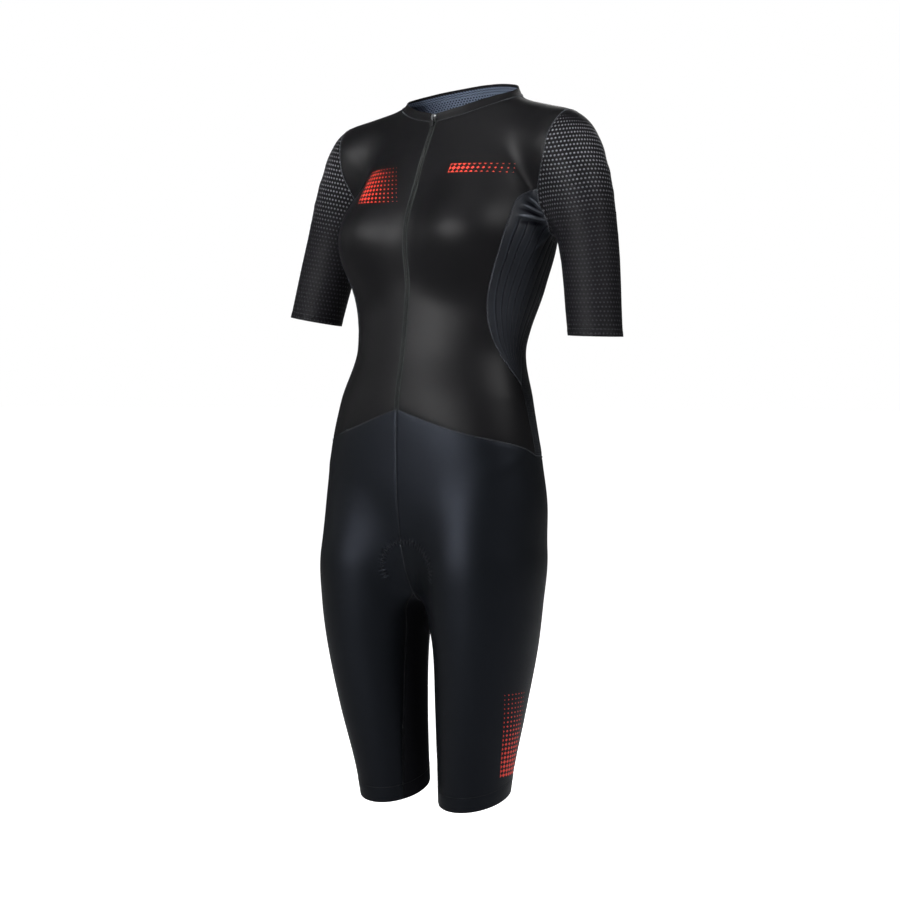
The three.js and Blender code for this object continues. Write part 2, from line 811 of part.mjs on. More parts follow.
// The bridge over the pull tab's bar, drawn from the side and sunk into the slider's face
function sliderBridge() {
  const sunk = 0.5;
  const { length, height, bar, width } = BRIDGE;
  const shape = new THREE.Shape();
  shape.moveTo(-sunk, -length / 2);
  shape.lineTo(height - bar, -length / 2);
  shape.lineTo(height, -length / 2 + bar);
  shape.lineTo(height, length / 2 - bar);
  shape.lineTo(height - bar, length / 2);
  shape.lineTo(-sunk, length / 2);
  shape.lineTo(-sunk, length / 2 - bar);
  shape.lineTo(height - bar, length / 2 - bar);
  shape.lineTo(height - bar, -length / 2 + bar);
  shape.lineTo(-sunk, -length / 2 + bar);
  const geometry = new THREE.ExtrudeGeometry(shape, { depth: width, bevelEnabled: false });
  const turn = new THREE.Matrix4().makeBasis(
    new THREE.Vector3(0, -1, 0),
    new THREE.Vector3(0, 0, 1),
    new THREE.Vector3(-1, 0, 0),
  );
  return geometry.applyMatrix4(turn).translate(width / 2, -SLIDER.thickness, 0);
}

// The pull tab hangs from its bar, which lies on the local X axis
function pullTab() {
  const { width, length, thickness, bar, window, windowWidth, tip } = TAB;
  const end = -length + bar / 2;
  const shape = new THREE.Shape();
  shape.moveTo(-width / 2, bar / 2);
  shape.lineTo(-width / 2, end + tip);
  shape.quadraticCurveTo(-width / 2, end, -width / 2 + tip, end);
  shape.lineTo(width / 2 - tip, end);
  shape.quadraticCurveTo(width / 2, end, width / 2, end + tip);
  shape.lineTo(width / 2, bar / 2);
  const hole = new THREE.Path();
  hole.moveTo(-windowWidth / 2, -bar / 2);
  hole.lineTo(windowWidth / 2, -bar / 2);
  hole.lineTo(windowWidth / 2, -window);
  hole.lineTo(-windowWidth / 2, -window);
  shape.holes.push(hole);
  return facePlate(shape, thickness).translate(0, thickness / 2, 0);
}

// The slider's frame on the zip, its foot just clear of the coil
const zipTop = zipRows[zipRows.length - 1];
const onZip = settled(new THREE.Vector3(0, zipTop.y, zipTop.z - SLIDER.drop), true);
const outwards = slopeAt(onZip).setX(0).normalize();
const upZip = new THREE.Vector3(0, -outwards.z, outwards.y).multiplyScalar(-1);
const coilRise = Math.max(...COIL.map(({ rise }) => rise));
const sliderFrame = new THREE.Group();
sliderFrame.position.copy(onZip).addScaledVector(outwards, coilRise + SLIDER.clearance);
sliderFrame.quaternion.setFromRotationMatrix(
  new THREE.Matrix4().makeBasis(new THREE.Vector3(1, 0, 0), outwards.clone().negate(), upZip),
);
suit.add(sliderFrame);
piece("zip_slider", fromSolid(solid(sliderBody()).add(solid(sliderBridge()))), LOOKS.slider, sliderFrame);
const tab = piece("zip_pull_tab", pullTab(), LOOKS.tab, sliderFrame);
tab.position.set(0, -SLIDER.thickness - (BRIDGE.height - BRIDGE.bar) / 2, 0);

export default suit;
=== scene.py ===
import bpy
import numpy as np
from mathutils import Matrix, Vector


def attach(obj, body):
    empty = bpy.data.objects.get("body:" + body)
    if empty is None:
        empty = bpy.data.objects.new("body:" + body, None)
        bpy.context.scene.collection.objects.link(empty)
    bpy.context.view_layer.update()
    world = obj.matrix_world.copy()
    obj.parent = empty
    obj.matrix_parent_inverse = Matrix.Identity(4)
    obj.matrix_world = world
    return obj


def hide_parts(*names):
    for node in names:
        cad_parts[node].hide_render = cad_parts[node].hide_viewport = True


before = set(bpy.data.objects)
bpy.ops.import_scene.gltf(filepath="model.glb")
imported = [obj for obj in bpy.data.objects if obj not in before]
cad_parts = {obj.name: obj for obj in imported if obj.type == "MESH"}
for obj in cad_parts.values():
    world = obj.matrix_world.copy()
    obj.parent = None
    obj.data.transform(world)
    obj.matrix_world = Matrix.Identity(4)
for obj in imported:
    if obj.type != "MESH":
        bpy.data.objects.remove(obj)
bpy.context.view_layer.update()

# The suit is cut in millimetres, +Z up, front towards -Y, the wearer's left at +X. METRE makes them Blender's metres.
METRE = 0.001
FINE = 8
CLOTH = 0.7
SUIT_BODY = "suit"
CLOTH_MAP = "cloth"

# Samples along each seam, before each is split into FINE
COUNT = {
    "neck_front": 5,
    "neck_back": 10,
    "shoulder": 5,
    "waist": 10,
    "side": 4,
    "rib": 10,
    "arm_front": 7,
    "arm_under": 8,
    "arm_back": 7,
    "rise": 8,
    "inner_leg": 10,
    "crotch": 6,
    "sleeve": 13,
    "band": 2,
    "pad_along": 14,
    "pad_across": 8,
}

# The general figure that fills the suit: level sections of the trunk, from the crotch to the neck
# Columns: z, half width, front, back, squareness of the front, squareness of the back
TRUNK = [
    [-640, 80, -90, 0, 2.1, 2.1],
    [-590, 125, -117, 36, 2.6, 1.9],
    [-530, 151, -130, 62, 2.6, 1.9],
    [-466, 151, -134, 61, 2.6, 2.0],
    [-385, 138, -132, 57, 2.2, 2.0],
    [-317, 121, -118, 63, 2.0, 2.0],
    [-236, 138, -107, 84, 1.9, 2.2],
    [-160, 147, -97, 98, 2.0, 2.5],
    [-90, 126, -83, 98, 2.3, 2.3],
    [-30, 96, -53, 92, 2.1, 2.1],
    [30, 60, -20, 85, 2.0, 2.0],
]

# Level sections of the left leg, from below the hem to inside the hip
# Columns: z, centre x, centre y, half width, half depth
LEG = [
    [-1000, 56, -40, 42, 44],
    [-884, 65, -46, 48, 51],
    [-790, 77, -51, 58, 63],
    [-709, 85, -52, 66, 75],
    [-650, 84, -52, 74, 83],
    [-590, 83, -48, 77, 91],
    [-530, 82, -42, 68, 84],
    [-460, 80, -35, 45, 58],
]

# Round sections along the left arm, the shoulder and the neck: x, y, z, radius
ARM = [
    [128, 26, -52, 38],
    [169, 19, -78, 49.5],
    [204, 8, -174, 39.5],
    [225, -12, -290, 35.5],
    [238, -22, -350, 33],
]
SHOULDER = np.array([[30, 42, -24, 57], [152, 20, -50, 50]], float)
NECK = np.array([[0, 48, -10, 71], [0, 8, 90, 69]], float)
CUP_CENTRE = np.array([64, -57, -172], float)
CUP_RADIUS = 67
CUP_PEAK = (69, -168)

# How widely the forms flow into each other
BLEND = {"cap": 20, "shoulder": 40, "cup": 45, "crotch": 22, "hip": 30, "neck": 22, "arm": 24}
ARM_STEPS = 4
LONGEST_STEP = 12

# Places on the left half of the suit that its seams run through
WAIST_PEAK = [0, -133, -397]
WAIST_SIDE = [151, -34, -456]
WAIST_MIDDLE_BACK = [0, 61, -450]
SIDE_TIP = [132, -40, -364]
SHOULDER_MIDDLE = [128, 27, 8]
SHOULDER_TOP = [172, 14, -5]
RIB_FRONT_TOP = [146, -19, -110]
RIB_BACK_TOP = [149, 38, -158]
CROTCH_FRONT = [0, -98, -637]
CROTCH_BACK = [0, -8, -634]
WAIST_FRONT = [
    [4, -133, -397],
    [30, -133, -406],
    [65, -128, -418],
    [102, -115, -429],
    [134, -89, -438],
    [148, -56, -447],
    WAIST_SIDE,
]
WAIST_BACK = [WAIST_SIDE, [147, 0, -458], [125, 36, -458], [75, 56, -455], WAIST_MIDDLE_BACK]
SIDE_SEAM = [WAIST_SIDE, [148, -35, -436], [141, -39, -398], SIDE_TIP]
RIB_FRONT = [
    SIDE_TIP,
    [121, -55, -339],
    [108, -67, -310],
    [103, -73, -285],
    [103, -76, -256],
    [110, -80, -231],
    [121, -84, -205],
    [129, -79, -170],
    [130, -66, -148],
    [131, -50, -126],
    [137, -31, -113],
    RIB_FRONT_TOP,
]
RIB_BACK = [SIDE_TIP, [127, -26, -340], [122, -8, -300], [128, 10, -250], [140, 26, -205], RIB_BACK_TOP]
ARM_FRONT = [
    RIB_FRONT_TOP,
    [150, -25, -99],
    [160, -32, -71],
    [165, -29, -43],
    [170, -19, -24],
    SHOULDER_TOP,
]
ARM_UNDER = [
    RIB_FRONT_TOP,
    [145, -11, -134],
    [149, -5, -152],
    [148, 6, -168],
    [147, 18, -176],
    [148, 30, -171],
    RIB_BACK_TOP,
]
ARM_BACK = [RIB_BACK_TOP, [152, 50, -128], [158, 57, -98], [165, 56, -62], [171, 38, -20], SHOULDER_TOP]
BAND_TOP = [
    [0, -41, -3],
    [30, -35, 3],
    [56, -18, 13],
    [74, 5, 22],
    [78, 27, 29],
    [70, 60, 41],
    [42, 90, 51],
    [0, 103, 56],
]
FRONT_RISE = [WAIST_PEAK, [0, -135, -440], [0, -131, -520], [0, -124, -570], CROTCH_FRONT]
BACK_RISE = [WAIST_MIDDLE_BACK, [0, 60, -530], [0, 36, -590], CROTCH_BACK]
CROTCH = [CROTCH_FRONT, [0, -52, -645], CROTCH_BACK]
INNER_FRONT = [CROTCH_FRONT, [9, -91, -655], [20, -80, -690], [25, -79, -755], [26, -80, -821]]
INNER_BACK = [CROTCH_BACK, [9, -14, -655], [22, -18, -690], [27, -22, -755], [27, -24, -821]]
SIDE_DENSE = 1.5

# Hems: the level of the plane at a place on the limb, and how it rises along X and Y
LEG_HEM = {"x": 65, "y": -92, "z": -917, "along_x": 0, "along_y": 0.3}
LEG_CENTRE = (62, -46)
LEG_FRONT_ANGLE = 222
LEG_BACK_ANGLE = 148
SLEEVE_CENTRE = (222, -10)
SLEEVE_HEM = {
    "left": {"x": 222, "y": -10, "z": -302, "along_x": -0.03, "along_y": 0},
    "right": {"x": 222, "y": -10, "z": -275, "along_x": 0.18, "along_y": -0.05},
}
UNDERARM_SEAM = 10

# The zip's left edge, from the waist seam up to the neck seam
ZIP_HALF_WIDTH = 4
BAND_HEIGHT = 12
ZIP_EDGE = [
    [4, -133, -397],
    [4, -124, -346],
    [4, -115, -296],
    [4, -109, -248],
    [4, -107, -196],
    [4, -103, -151],
    [4, -91, -110],
    [4, -74, -69],
]

# The seat pad's middle line, and its half width at shares of that line
PAD_PATH = [[0, -124, -569], [0, -110, -615], CROTCH_FRONT, [0, -52, -645], CROTCH_BACK, [0, 32, -596]]
PAD_HALF_WIDTH = [
    [0, 9],
    [0.06, 26],
    [0.16, 36],
    [0.3, 34],
    [0.5, 26],
    [0.7, 34],
    [0.85, 48],
    [0.95, 36],
    [1, 14],
]
PAD_DEPTH = 3.1
PAD_THICKNESS = 4

# The stitched arc that holds the pad's front edge, on the wearer's left and on the right
PAD_ARC_LEFT = [[0, -125, -567], [17, -126, -568], [34, -128, -577], [45, -131, -589], [50, -132, -605], [49, -129, -619]]
PAD_ARC_RIGHT = [
    [0, -125, -567],
    [-15, -125, -573],
    [-25, -125, -583],
    [-30, -123, -600],
    [-28, -118, -617],
]

# Folds of the left half, as lines of marks with a width and a height: ridges, and troughs where the height is negative
FOLDS = [
    ([[151, -12, -150], [143, -33, -147], [134, -58, -146]], 2.4, 2.3),
    ([[151, -13, -156], [143, -36, -155], [135, -62, -156]], 2.8, -0.8),
    ([[150, -14, -146], [141, -34, -140], [134, -52, -136]], 2.2, -1.0),
    ([[150, -14, -142], [143, -27, -136], [134, -45, -130]], 2.2, 2.1),
    ([[149, -15, -139], [142, -24, -131], [135, -36, -124]], 2.0, -0.8),
    ([[149, -16, -137], [142, -21, -127], [134, -31, -118]], 2.2, 1.6),
    ([[150, 4, -166], [141, -16, -180], [132, -38, -196]], 5, 0.9),
    ([[150, 40, -150], [140, 62, -152], [126, 80, -160]], 5, 1.2),
    ([[151, 46, -136], [141, 68, -136], [126, 84, -140]], 5, -0.9),
    ([[152, 50, -124], [143, 72, -122], [128, 88, -122]], 6, 0.8),
    ([[166, -22, -150], [180, -30, -158], [198, -32, -160]], 5, 0.9),
    ([[168, -18, -165], [186, -24, -176], [202, -28, -182]], 5, 0.8),
    ([[168, 20, -184], [182, 30, -196], [198, 36, -204]], 6, 1.0),
    ([[146, -44, -446], [120, -82, -472], [92, -112, -492]], 9, 0.6),
    ([[118, 26, -612], [86, 30, -622], [44, 18, -628]], 7, -1.2),
    ([[120, 10, -640], [84, 22, -650], [44, 4, -656]], 8, 0.9),
    ([[60, 62, -330], [96, 40, -322], [118, 8, -318]], 9, -0.8),
    ([[52, 64, -300], [92, 46, -296], [116, 14, -300]], 9, 0.8),
    ([[4, -99, -634], [14, -108, -628], [26, -112, -622]], 3.5, 0.8),
    ([[4, -102, -628], [12, -114, -618], [20, -119, -604]], 3.5, -0.6),
]
FOLD_STEPS = 12

def reading(rows, at):
    """Smooth readings of a table's other columns at values of its first: a cubic through each row."""
    rows = np.asarray(rows, float)
    key, values = rows[:, 0], rows[:, 1:]
    last = len(rows) - 1
    before = np.maximum(np.arange(last + 1) - 1, 0)
    after = np.minimum(np.arange(last + 1) + 1, last)
    slope = (values[after] - values[before]) / (key[after] - key[before])[:, None]
    at = np.clip(at, key[0], key[-1])
    i = np.clip(np.searchsorted(key, at) - 1, 0, last - 1)
    span = (key[i + 1] - key[i])[..., None]
    t = (at - key[i])[..., None] / span
    ease = t * t * (3 - 2 * t)
    bend = t * (1 - t) * span * ((1 - t) * slope[i] - t * slope[i + 1])
    return np.moveaxis(values[i] * (1 - ease) + values[i + 1] * ease + bend, -1, 0)


def blend(a, b, width):
    h = np.maximum(width - np.abs(a - b), 0) / width
    return np.minimum(a, b) - h * h * width / 4


def cap(a, b):
    return -blend(-a, -b, BLEND["cap"])


def outside_section(dx, dy, half_width, half_depth, square):
    r = np.hypot(dx, dy) + 1e-6
    spread = np.abs(dx / half_width) ** square + np.abs(dy / half_depth) ** square
    return r - r / (spread ** (1 / square) + 1e-9)


def outside_capsule(p, a, b):
    way = b[:3] - a[:3]
    t = np.clip((p - a[:3]) @ way / (way @ way), 0, 1)
    away = np.linalg.norm(p - a[:3] - t[..., None] * way, axis=-1)
    return away - a[3] - (b[3] - a[3]) * t


def arm_rows():
    numbered = np.column_stack([np.arange(len(ARM)), ARM])
    return reading(numbered, np.arange((len(ARM) - 1) * ARM_STEPS + 1) / ARM_STEPS).T


ARM_ROWS = arm_rows()


def outside_trunk(p, unsigned):
    x, y, z = np.moveaxis(p, -1, 0)
    half_width, front, back, front_square, back_square = reading(TRUNK, z)
    middle = (front + back) / 2
    square = np.where(y < middle, front_square, back_square)
    f = outside_section(x, y - middle, half_width, (back - front) / 2, square)
    f = cap(f, z - TRUNK[-1][0])
    f = cap(f, TRUNK[0][0] - z)
    f = blend(f, outside_capsule(unsigned, SHOULDER[0], SHOULDER[1]), BLEND["shoulder"])
    for side in (1, -1):
        cup = np.linalg.norm(p - CUP_CENTRE * [side, 1, 1], axis=-1) - CUP_RADIUS
        f = blend(f, cup, BLEND["cup"])
    return f


def outside_leg(p, side):
    x, y, z = np.moveaxis(p, -1, 0)
    centre_x, centre_y, half_width, half_depth = reading(LEG, z)
    f = outside_section(x - side * centre_x, y - centre_y, half_width, half_depth, 2)
    return cap(f, z - LEG[-1][0])


def outside(p):
    """How far points lie outside the figure, roughly."""
    unsigned = np.abs(p) * [1, 0, 0] + p * [0, 1, 1]
    legs = blend(outside_leg(p, 1), outside_leg(p, -1), BLEND["crotch"])
    f = blend(outside_trunk(p, unsigned), legs, BLEND["hip"])
    f = blend(f, outside_capsule(p, NECK[0], NECK[1]), BLEND["neck"])
    arm = np.min([outside_capsule(unsigned, a, b) for a, b in zip(ARM_ROWS, ARM_ROWS[1:])], axis=0)
    return blend(f, arm, BLEND["arm"])


def slope_at(p):
    reach = 0.5
    slopes = [(outside(p + reach * way) - outside(p - reach * way)) / (2 * reach) for way in np.eye(3)]
    return np.stack(slopes, -1)


def settled(points, turns=12, on_centre=False):
    """The points moved onto the figure's surface."""
    p = np.array(points, float)
    for _ in range(turns):
        slope = slope_at(p)
        length = np.linalg.norm(slope, axis=-1)
        step = np.clip(-outside(p) / length, -LONGEST_STEP, LONGEST_STEP)
        p += slope * (step / length)[..., None]
        if on_centre:
            p[..., 0] = 0
    return p


def facing(points):
    slope = slope_at(points)
    return slope / np.linalg.norm(slope, axis=-1)[..., None]


def lengths(line):
    """The length along a line up to each of its points."""
    steps = np.linalg.norm(np.diff(line, axis=0), axis=-1)
    return np.concatenate([np.zeros_like(steps[:1]), np.cumsum(steps, axis=0)])


def seam(marks, count, dense=1):
    """Points on the figure along a smooth line through marks, closer together at its end where dense > 1."""
    marks = np.array(marks, float)
    length = lengths(marks)
    at = (1 - (1 - np.arange(count + 1) / count) ** dense) * length[-1]
    line = reading(np.column_stack([length, marks]), at).T
    return settled(line, on_centre=bool(np.all(marks[:, 0] == 0)))


def fine_seam(marks, *parts, dense=1):
    return seam(marks, FINE * sum(COUNT[part] for part in parts), dense)


def joined(*lines):
    return np.concatenate([lines[0], *[line[1:] for line in lines[1:]]])


def mirrored(points):
    return points * [-1, 1, 1]


def hem_line(hem, centre, degrees):
    """Where the figure meets a hem's plane, at angles seen from above."""
    way = np.stack([np.cos(np.radians(degrees)), np.sin(np.radians(degrees))], -1)

    def at(radius):
        level = np.array(centre) + radius[:, None] * way
        rise = hem["along_x"] * (level[:, 0] - hem["x"]) + hem["along_y"] * (level[:, 1] - hem["y"])
        return np.column_stack([level, hem["z"] + rise])

    low, high = np.full(len(way), 5.0), np.full(len(way), 70.0)
    for _ in range(30):
        middle = (low + high) / 2
        inside = outside(at(middle)) < 0
        low, high = np.where(inside, middle, low), np.where(inside, high, middle)
    return at((low + high) / 2)


def below_ring(ring, drop, steps=4):
    along = np.concatenate([ring[1:], ring[-1:]]) - np.concatenate([ring[:1], ring[:-1]])
    p = ring
    for _ in range(steps):
        down = np.cross(slope_at(p), along)
        down /= np.linalg.norm(down, axis=-1)[:, None]
        down *= np.where(down[:, 2:] > 0, -1, 1) * drop / steps
        p = settled(p + down)
    p[[0, -1], 0] = ring[[0, -1], 0]
    return settled(p)


# Nets of points over each piece


def level_line(grid, distance):
    """The line over a net at a distance from its bottom edge."""
    along = lengths(grid)
    line = [
        [np.interp(distance, along[:, i], grid[:, i, k]) for k in range(3)] for i in range(grid.shape[1])
    ]
    return np.array(line)


def evened(net, loop=False):
    """The net with its inner points spread evenly and settled on the figure again."""
    turns, share = 6, 0.6
    for _ in range(turns):
        ring = np.concatenate([net[:, -1:], net, net[:, :1]], 1) if loop else net
        mean = (ring[1:-1, 2:] + ring[1:-1, :-2] + ring[2:, 1:-1] + ring[:-2, 1:-1]) / 4
        inner = (slice(1, -1), slice(None) if loop else slice(1, -1))
        now = net.copy()
        now[inner] = settled(net[inner] * (1 - share) + mean * share)
        net = now
    return net


def finer(grid, steps=FINE):
    """The grid with more steps in place of each one, both ways."""
    for axis in (0, 1):
        lines = np.moveaxis(grid, axis, 0)
        count = len(lines)
        rows = np.column_stack([np.arange(count), lines.reshape(count, -1)])
        read = reading(rows, np.arange((count - 1) * steps + 1) / steps).T
        grid = np.moveaxis(read.reshape(-1, *lines.shape[1:]), 0, axis)
    return grid


def spread(fine, loop=False):
    """A fine net whose every FINE-th point is evened with its neighbours, and the rest follow."""
    coarse = fine[::FINE, ::FINE]
    inner = settled(coarse)
    if loop:
        inner[[0, -1]] = coarse[[0, -1]]
        even = evened(inner[:, :-1], loop=True)
        even = np.concatenate([even, even[:, :1]], 1)
    else:
        inner[[0, -1]] = coarse[[0, -1]]
        inner[:, [0, -1]] = coarse[:, [0, -1]]
        even = evened(inner)
    return settled(fine + finer(even - coarse), turns=4)


def net(left, right, bottom, top):
    """A net between four seams: rows go from the bottom to the top, columns from the left to the right."""
    v = np.linspace(0, 1, len(left))[:, None, None]
    u = np.linspace(0, 1, len(bottom))[None, :, None]
    across = left[:, None] * (1 - u) + right[:, None] * u
    along = bottom[None] * (1 - v) + top[None] * v
    corners = (bottom[0] * (1 - u) + bottom[-1] * u) * (1 - v) + (top[0] * (1 - u) + top[-1] * u) * v
    return spread(across + along - corners)


def sleeve_net(hem):
    """Rings from the armhole to the hem, from the underarm seam round to it again."""
    armhole = joined(arm_front[::-1], arm_under, arm_back)
    count = len(armhole) - 1
    end = hem_line(hem, SLEEVE_CENTRE, -360 * np.arange(count + 1) / count)
    t = np.linspace(0, 1, FINE * COUNT["sleeve"] + 1)[:, None, None]
    rings = spread(armhole * (1 - t) + end * t, loop=True)[:, :-1]
    rings = np.roll(rings, -UNDERARM_SEAM * FINE, axis=1)
    return np.concatenate([rings, rings[:, :1]], 1)


def pad_net():
    """Steps to each side of the pad's middle line, over the figure's surface."""
    path = fine_seam(PAD_PATH, "pad_along")
    half = COUNT["pad_across"] * FINE // 2
    width = reading(PAD_HALF_WIDTH, np.linspace(0, 1, len(path)))[0]
    along = np.concatenate([path[1:], path[-1:]]) - np.concatenate([path[:1], path[:-1]])
    side = [path]
    for _ in range(half):
        step = np.cross(along, slope_at(side[-1]))
        step *= (np.where(step[:, 0] < 0, -1, 1) * width / half / np.linalg.norm(step, axis=-1))[:, None]
        side.append(settled(side[-1] + step, turns=4))
    side = np.stack(side, 1)
    return np.concatenate([mirrored(side[:, :0:-1]), side], 1)


waist_front = fine_seam(WAIST_FRONT, "waist")
waist_back = fine_seam(WAIST_BACK, "waist")
side_seam = fine_seam(SIDE_SEAM, "side")
rib_front = fine_seam(RIB_FRONT, "rib", dense=SIDE_DENSE)
rib_back = fine_seam(RIB_BACK, "rib", dense=SIDE_DENSE)
arm_front = fine_seam(ARM_FRONT, "arm_front")
arm_under = fine_seam(ARM_UNDER, "arm_under")
arm_back = fine_seam(ARM_BACK, "arm_back")
front_rise = fine_seam(FRONT_RISE, "rise")
back_rise = fine_seam(BACK_RISE, "rise")
crotch = fine_seam(CROTCH, "crotch")

# The neckband's top ring, and the neck seam one band's height down the figure from it
band_top = seam(BAND_TOP, FINE * (COUNT["neck_front"] + COUNT["neck_back"] // 2))
band_start = settled([ZIP_HALF_WIDTH, *BAND_TOP[0][1:]])
band_top[: FINE + 1] = settled(band_start + (band_top[FINE] - band_start) * np.linspace(0, 1, FINE + 1)[:, None])
neck_seam = below_ring(band_top, BAND_HEIGHT)
neck_front = neck_seam[: FINE * COUNT["neck_front"] + 1]
neck_back = neck_seam[FINE * COUNT["neck_front"] :]
shoulder = fine_seam([neck_front[-1], SHOULDER_MIDDLE, SHOULDER_TOP], "shoulder")
zip_edge = fine_seam([*ZIP_EDGE, neck_front[0]], "side", "rib", "arm_front")
band_edge = fine_seam([neck_front[0], band_top[0]], "band")

# Hems and inner-leg seams
hem_outer_angles = np.linspace(LEG_FRONT_ANGLE, 360 + LEG_BACK_ANGLE, FINE * (2 * COUNT["waist"] + 1) + 1)
hem_inner_angles = np.linspace(LEG_FRONT_ANGLE, LEG_BACK_ANGLE, FINE * COUNT["crotch"] + 1)
hem_outer = hem_line(LEG_HEM, LEG_CENTRE, hem_outer_angles)
hem_inner = hem_line(LEG_HEM, LEG_CENTRE, hem_inner_angles)
inner_front = fine_seam([*INNER_FRONT, hem_inner[0]], "inner_leg")
inner_back = fine_seam([*INNER_BACK, hem_inner[-1]], "inner_leg")

# Nets of the left half and of the pieces that cross the middle
peak_gap = front_rise[0] + (waist_front[0] - front_rise[0]) * np.linspace(0, 1, FINE + 1)[:, None]
back_side = joined(side_seam, rib_back, arm_back)
half_back_top = joined(neck_back[::-1], shoulder)
half_back_waist = waist_back[::-1]
NETS = {
    "front": net(zip_edge, joined(side_seam, rib_front, arm_front), waist_front, joined(neck_front, shoulder)),
    "side": net(rib_front, rib_back, np.repeat(rib_front[:1], len(arm_under), 0), arm_under),
    "back": net(
        mirrored(back_side),
        back_side,
        joined(mirrored(half_back_waist[::-1]), half_back_waist),
        joined(mirrored(half_back_top[::-1]), half_back_top),
    ),
    "shorts": net(
        joined(front_rise, inner_front)[::-1],
        joined(back_rise, inner_back)[::-1],
        hem_outer,
        joined(peak_gap, waist_front, waist_back),
    ),
    "inner_leg": net(inner_front[::-1], inner_back[::-1], hem_inner, crotch),
    "neckband": net(
        band_edge,
        mirrored(band_edge),
        joined(neck_seam, mirrored(neck_seam[::-1])),
        joined(band_top, mirrored(band_top[::-1])),
    ),
    "sleeve_left": sleeve_net(SLEEVE_HEM["left"]),
    "sleeve_right": sleeve_net(SLEEVE_HEM["right"]),
}

NETS["side"] = settled(finer(NETS["side"], 2), turns=2)

PAD_ARC_LINES = {1: seam(PAD_ARC_LEFT, 40), -1: seam(PAD_ARC_RIGHT, 40)}

# Relief of the cloth over the figure


def nearest(points, line):
    """Each point's distance from a line, and the length along the line to the place nearest it."""
    along = lengths(line)
    flat = points.reshape(-1, 3)
    best = np.full(len(flat), np.inf)
    place = np.zeros(len(flat))
    for a, b, start in zip(line[:-1], line[1:], along[:-1]):
        way = b - a
        t = np.clip((flat - a) @ way / (way @ way), 0, 1)
        away = np.linalg.norm(flat - a - t[:, None] * way, axis=1)
        closer = away < best
        best = np.where(closer, away, best)
        place = np.where(closer, start + t * np.linalg.norm(way), place)
    return best.reshape(points.shape[:-1]), place.reshape(points.shape[:-1])


FOLD_LINES = [(seam(marks, FOLD_STEPS), width, height) for marks, width, height in FOLDS]


def folded(points):
    """How far the folds lift the cloth at points of the left half."""
    lift = np.zeros(points.shape[:-1])
    for line, width, height in FOLD_LINES:
        near = np.all((points > line.min(0) - 3 * width) & (points < line.max(0) + 3 * width), axis=-1)
        if near.any():
            away, place = nearest(points[near], line)
            fade = np.sin(np.pi * np.clip(0.12 + 0.88 * place / lengths(line)[-1], 0, 1)) ** 0.8
            lift[near] += height * fade * np.exp(-((away / width) ** 2))
    return lift


def cup_form(points):
    """The fuller middle of each cup, over the figure's own cups."""
    x, z = np.abs(points[..., 0]) - CUP_PEAK[0], points[..., 2] - CUP_PEAK[1]
    away = np.hypot(x, z)
    return 3.0 * np.exp(-((away / 34) ** 2))


def edge_distances(grid):
    """Each point's distance from the left, right, bottom and top edges, along the cloth."""
    across = lengths(np.moveaxis(grid, 1, 0)).T
    along = lengths(grid)
    return {
        "left": across,
        "right": across[:, -1:] - across,
        "bottom": along,
        "top": along[-1:] - along,
    }


def sewn_in(distances, sides, depth=0.55, width=2.2):
    """A dip along sewn edges, where the seam draws the cloth in."""
    return -depth * np.sum([np.exp(-((distances[side] / width) ** 2)) for side in sides], axis=0)


def hemmed(distance, width, rise=0.35):
    """A doubled hem: a low step up to its fold, with a dip where it is stitched down."""
    step = rise / (1 + np.exp((distance - width) / 0.8))
    return step - 0.3 * np.exp(-(((distance - width) / 1.6) ** 2))


RIBS = 9
RIB_HEIGHT = 0.8
PLEATS_END = -147
LEG_HEM_WIDTH = 20
SLEEVE_HEM_WIDTH = 9


def side_ribs(grid):
    """Raised ribs that run down the side panel, with a finer groove between each two."""
    columns = grid.shape[1]
    u = np.linspace(0, 1, columns)[None, :] * RIBS
    v = np.linspace(0, 1, grid.shape[0])[:, None]
    wave = np.abs(np.sin(np.pi * u)) ** 0.45
    fade = np.clip((v - 0.05) / 0.3, 0, 1) ** 0.7 * np.clip((PLEATS_END - grid[..., 2]) / 10, 0, 1)
    return RIB_HEIGHT * (wave - 1) * fade


def cloth_map(grid, middle_column, sign=1):
    """Millimetres over the cloth: across from one column, and up from the bottom."""
    across = lengths(np.moveaxis(grid, 1, 0)).T
    along = lengths(grid)
    return np.stack([sign * (across - across[:, middle_column : middle_column + 1]), along], -1)


def reliefs():
    relief = {}
    for name, grid in NETS.items():
        relief[name] = folded(grid * [-1, 1, 1] if name == "sleeve_right" else np.abs(grid) * [1, 0, 0] + grid * [0, 1, 1])
        edges = edge_distances(grid)
        if name == "front":
            relief[name] += sewn_in(edges, ["right", "top", "bottom"])
            relief[name] += cup_form(grid) * np.clip(np.minimum(edges["left"], edges["right"]) / 14, 0, 1)
        elif name in ("side", "back"):
            relief[name] += sewn_in(edges, ["left", "right", "top", "bottom"])
        elif name == "neckband":
            relief[name] += sewn_in(edges, ["bottom"], depth=0.5)
            relief[name] += 0.5 * np.exp(-((edges["top"] / 2.5) ** 2))
        elif name.startswith("sleeve"):
            relief[name] += sewn_in(edges, ["left", "right", "bottom"])
            relief[name] += hemmed(edges["top"], SLEEVE_HEM_WIDTH)
        else:
            relief[name] += sewn_in(edges, ["left", "right", "top"])
            relief[name] += hemmed(edges["bottom"], LEG_HEM_WIDTH)
    relief["side"] += side_ribs(NETS["side"])
    return relief


RELIEF = reliefs()

# Zip: the tape, its two ridges and the coil between them
TAPE_HALF_WIDTH = 4
RIDGE_PLACE = 3.1
COIL_HALF_WIDTH = 0.9
COIL_PITCH = 1.5
COIL_RADIUS = 0.3
COIL_RISE = 0.3

# Shader node helpers


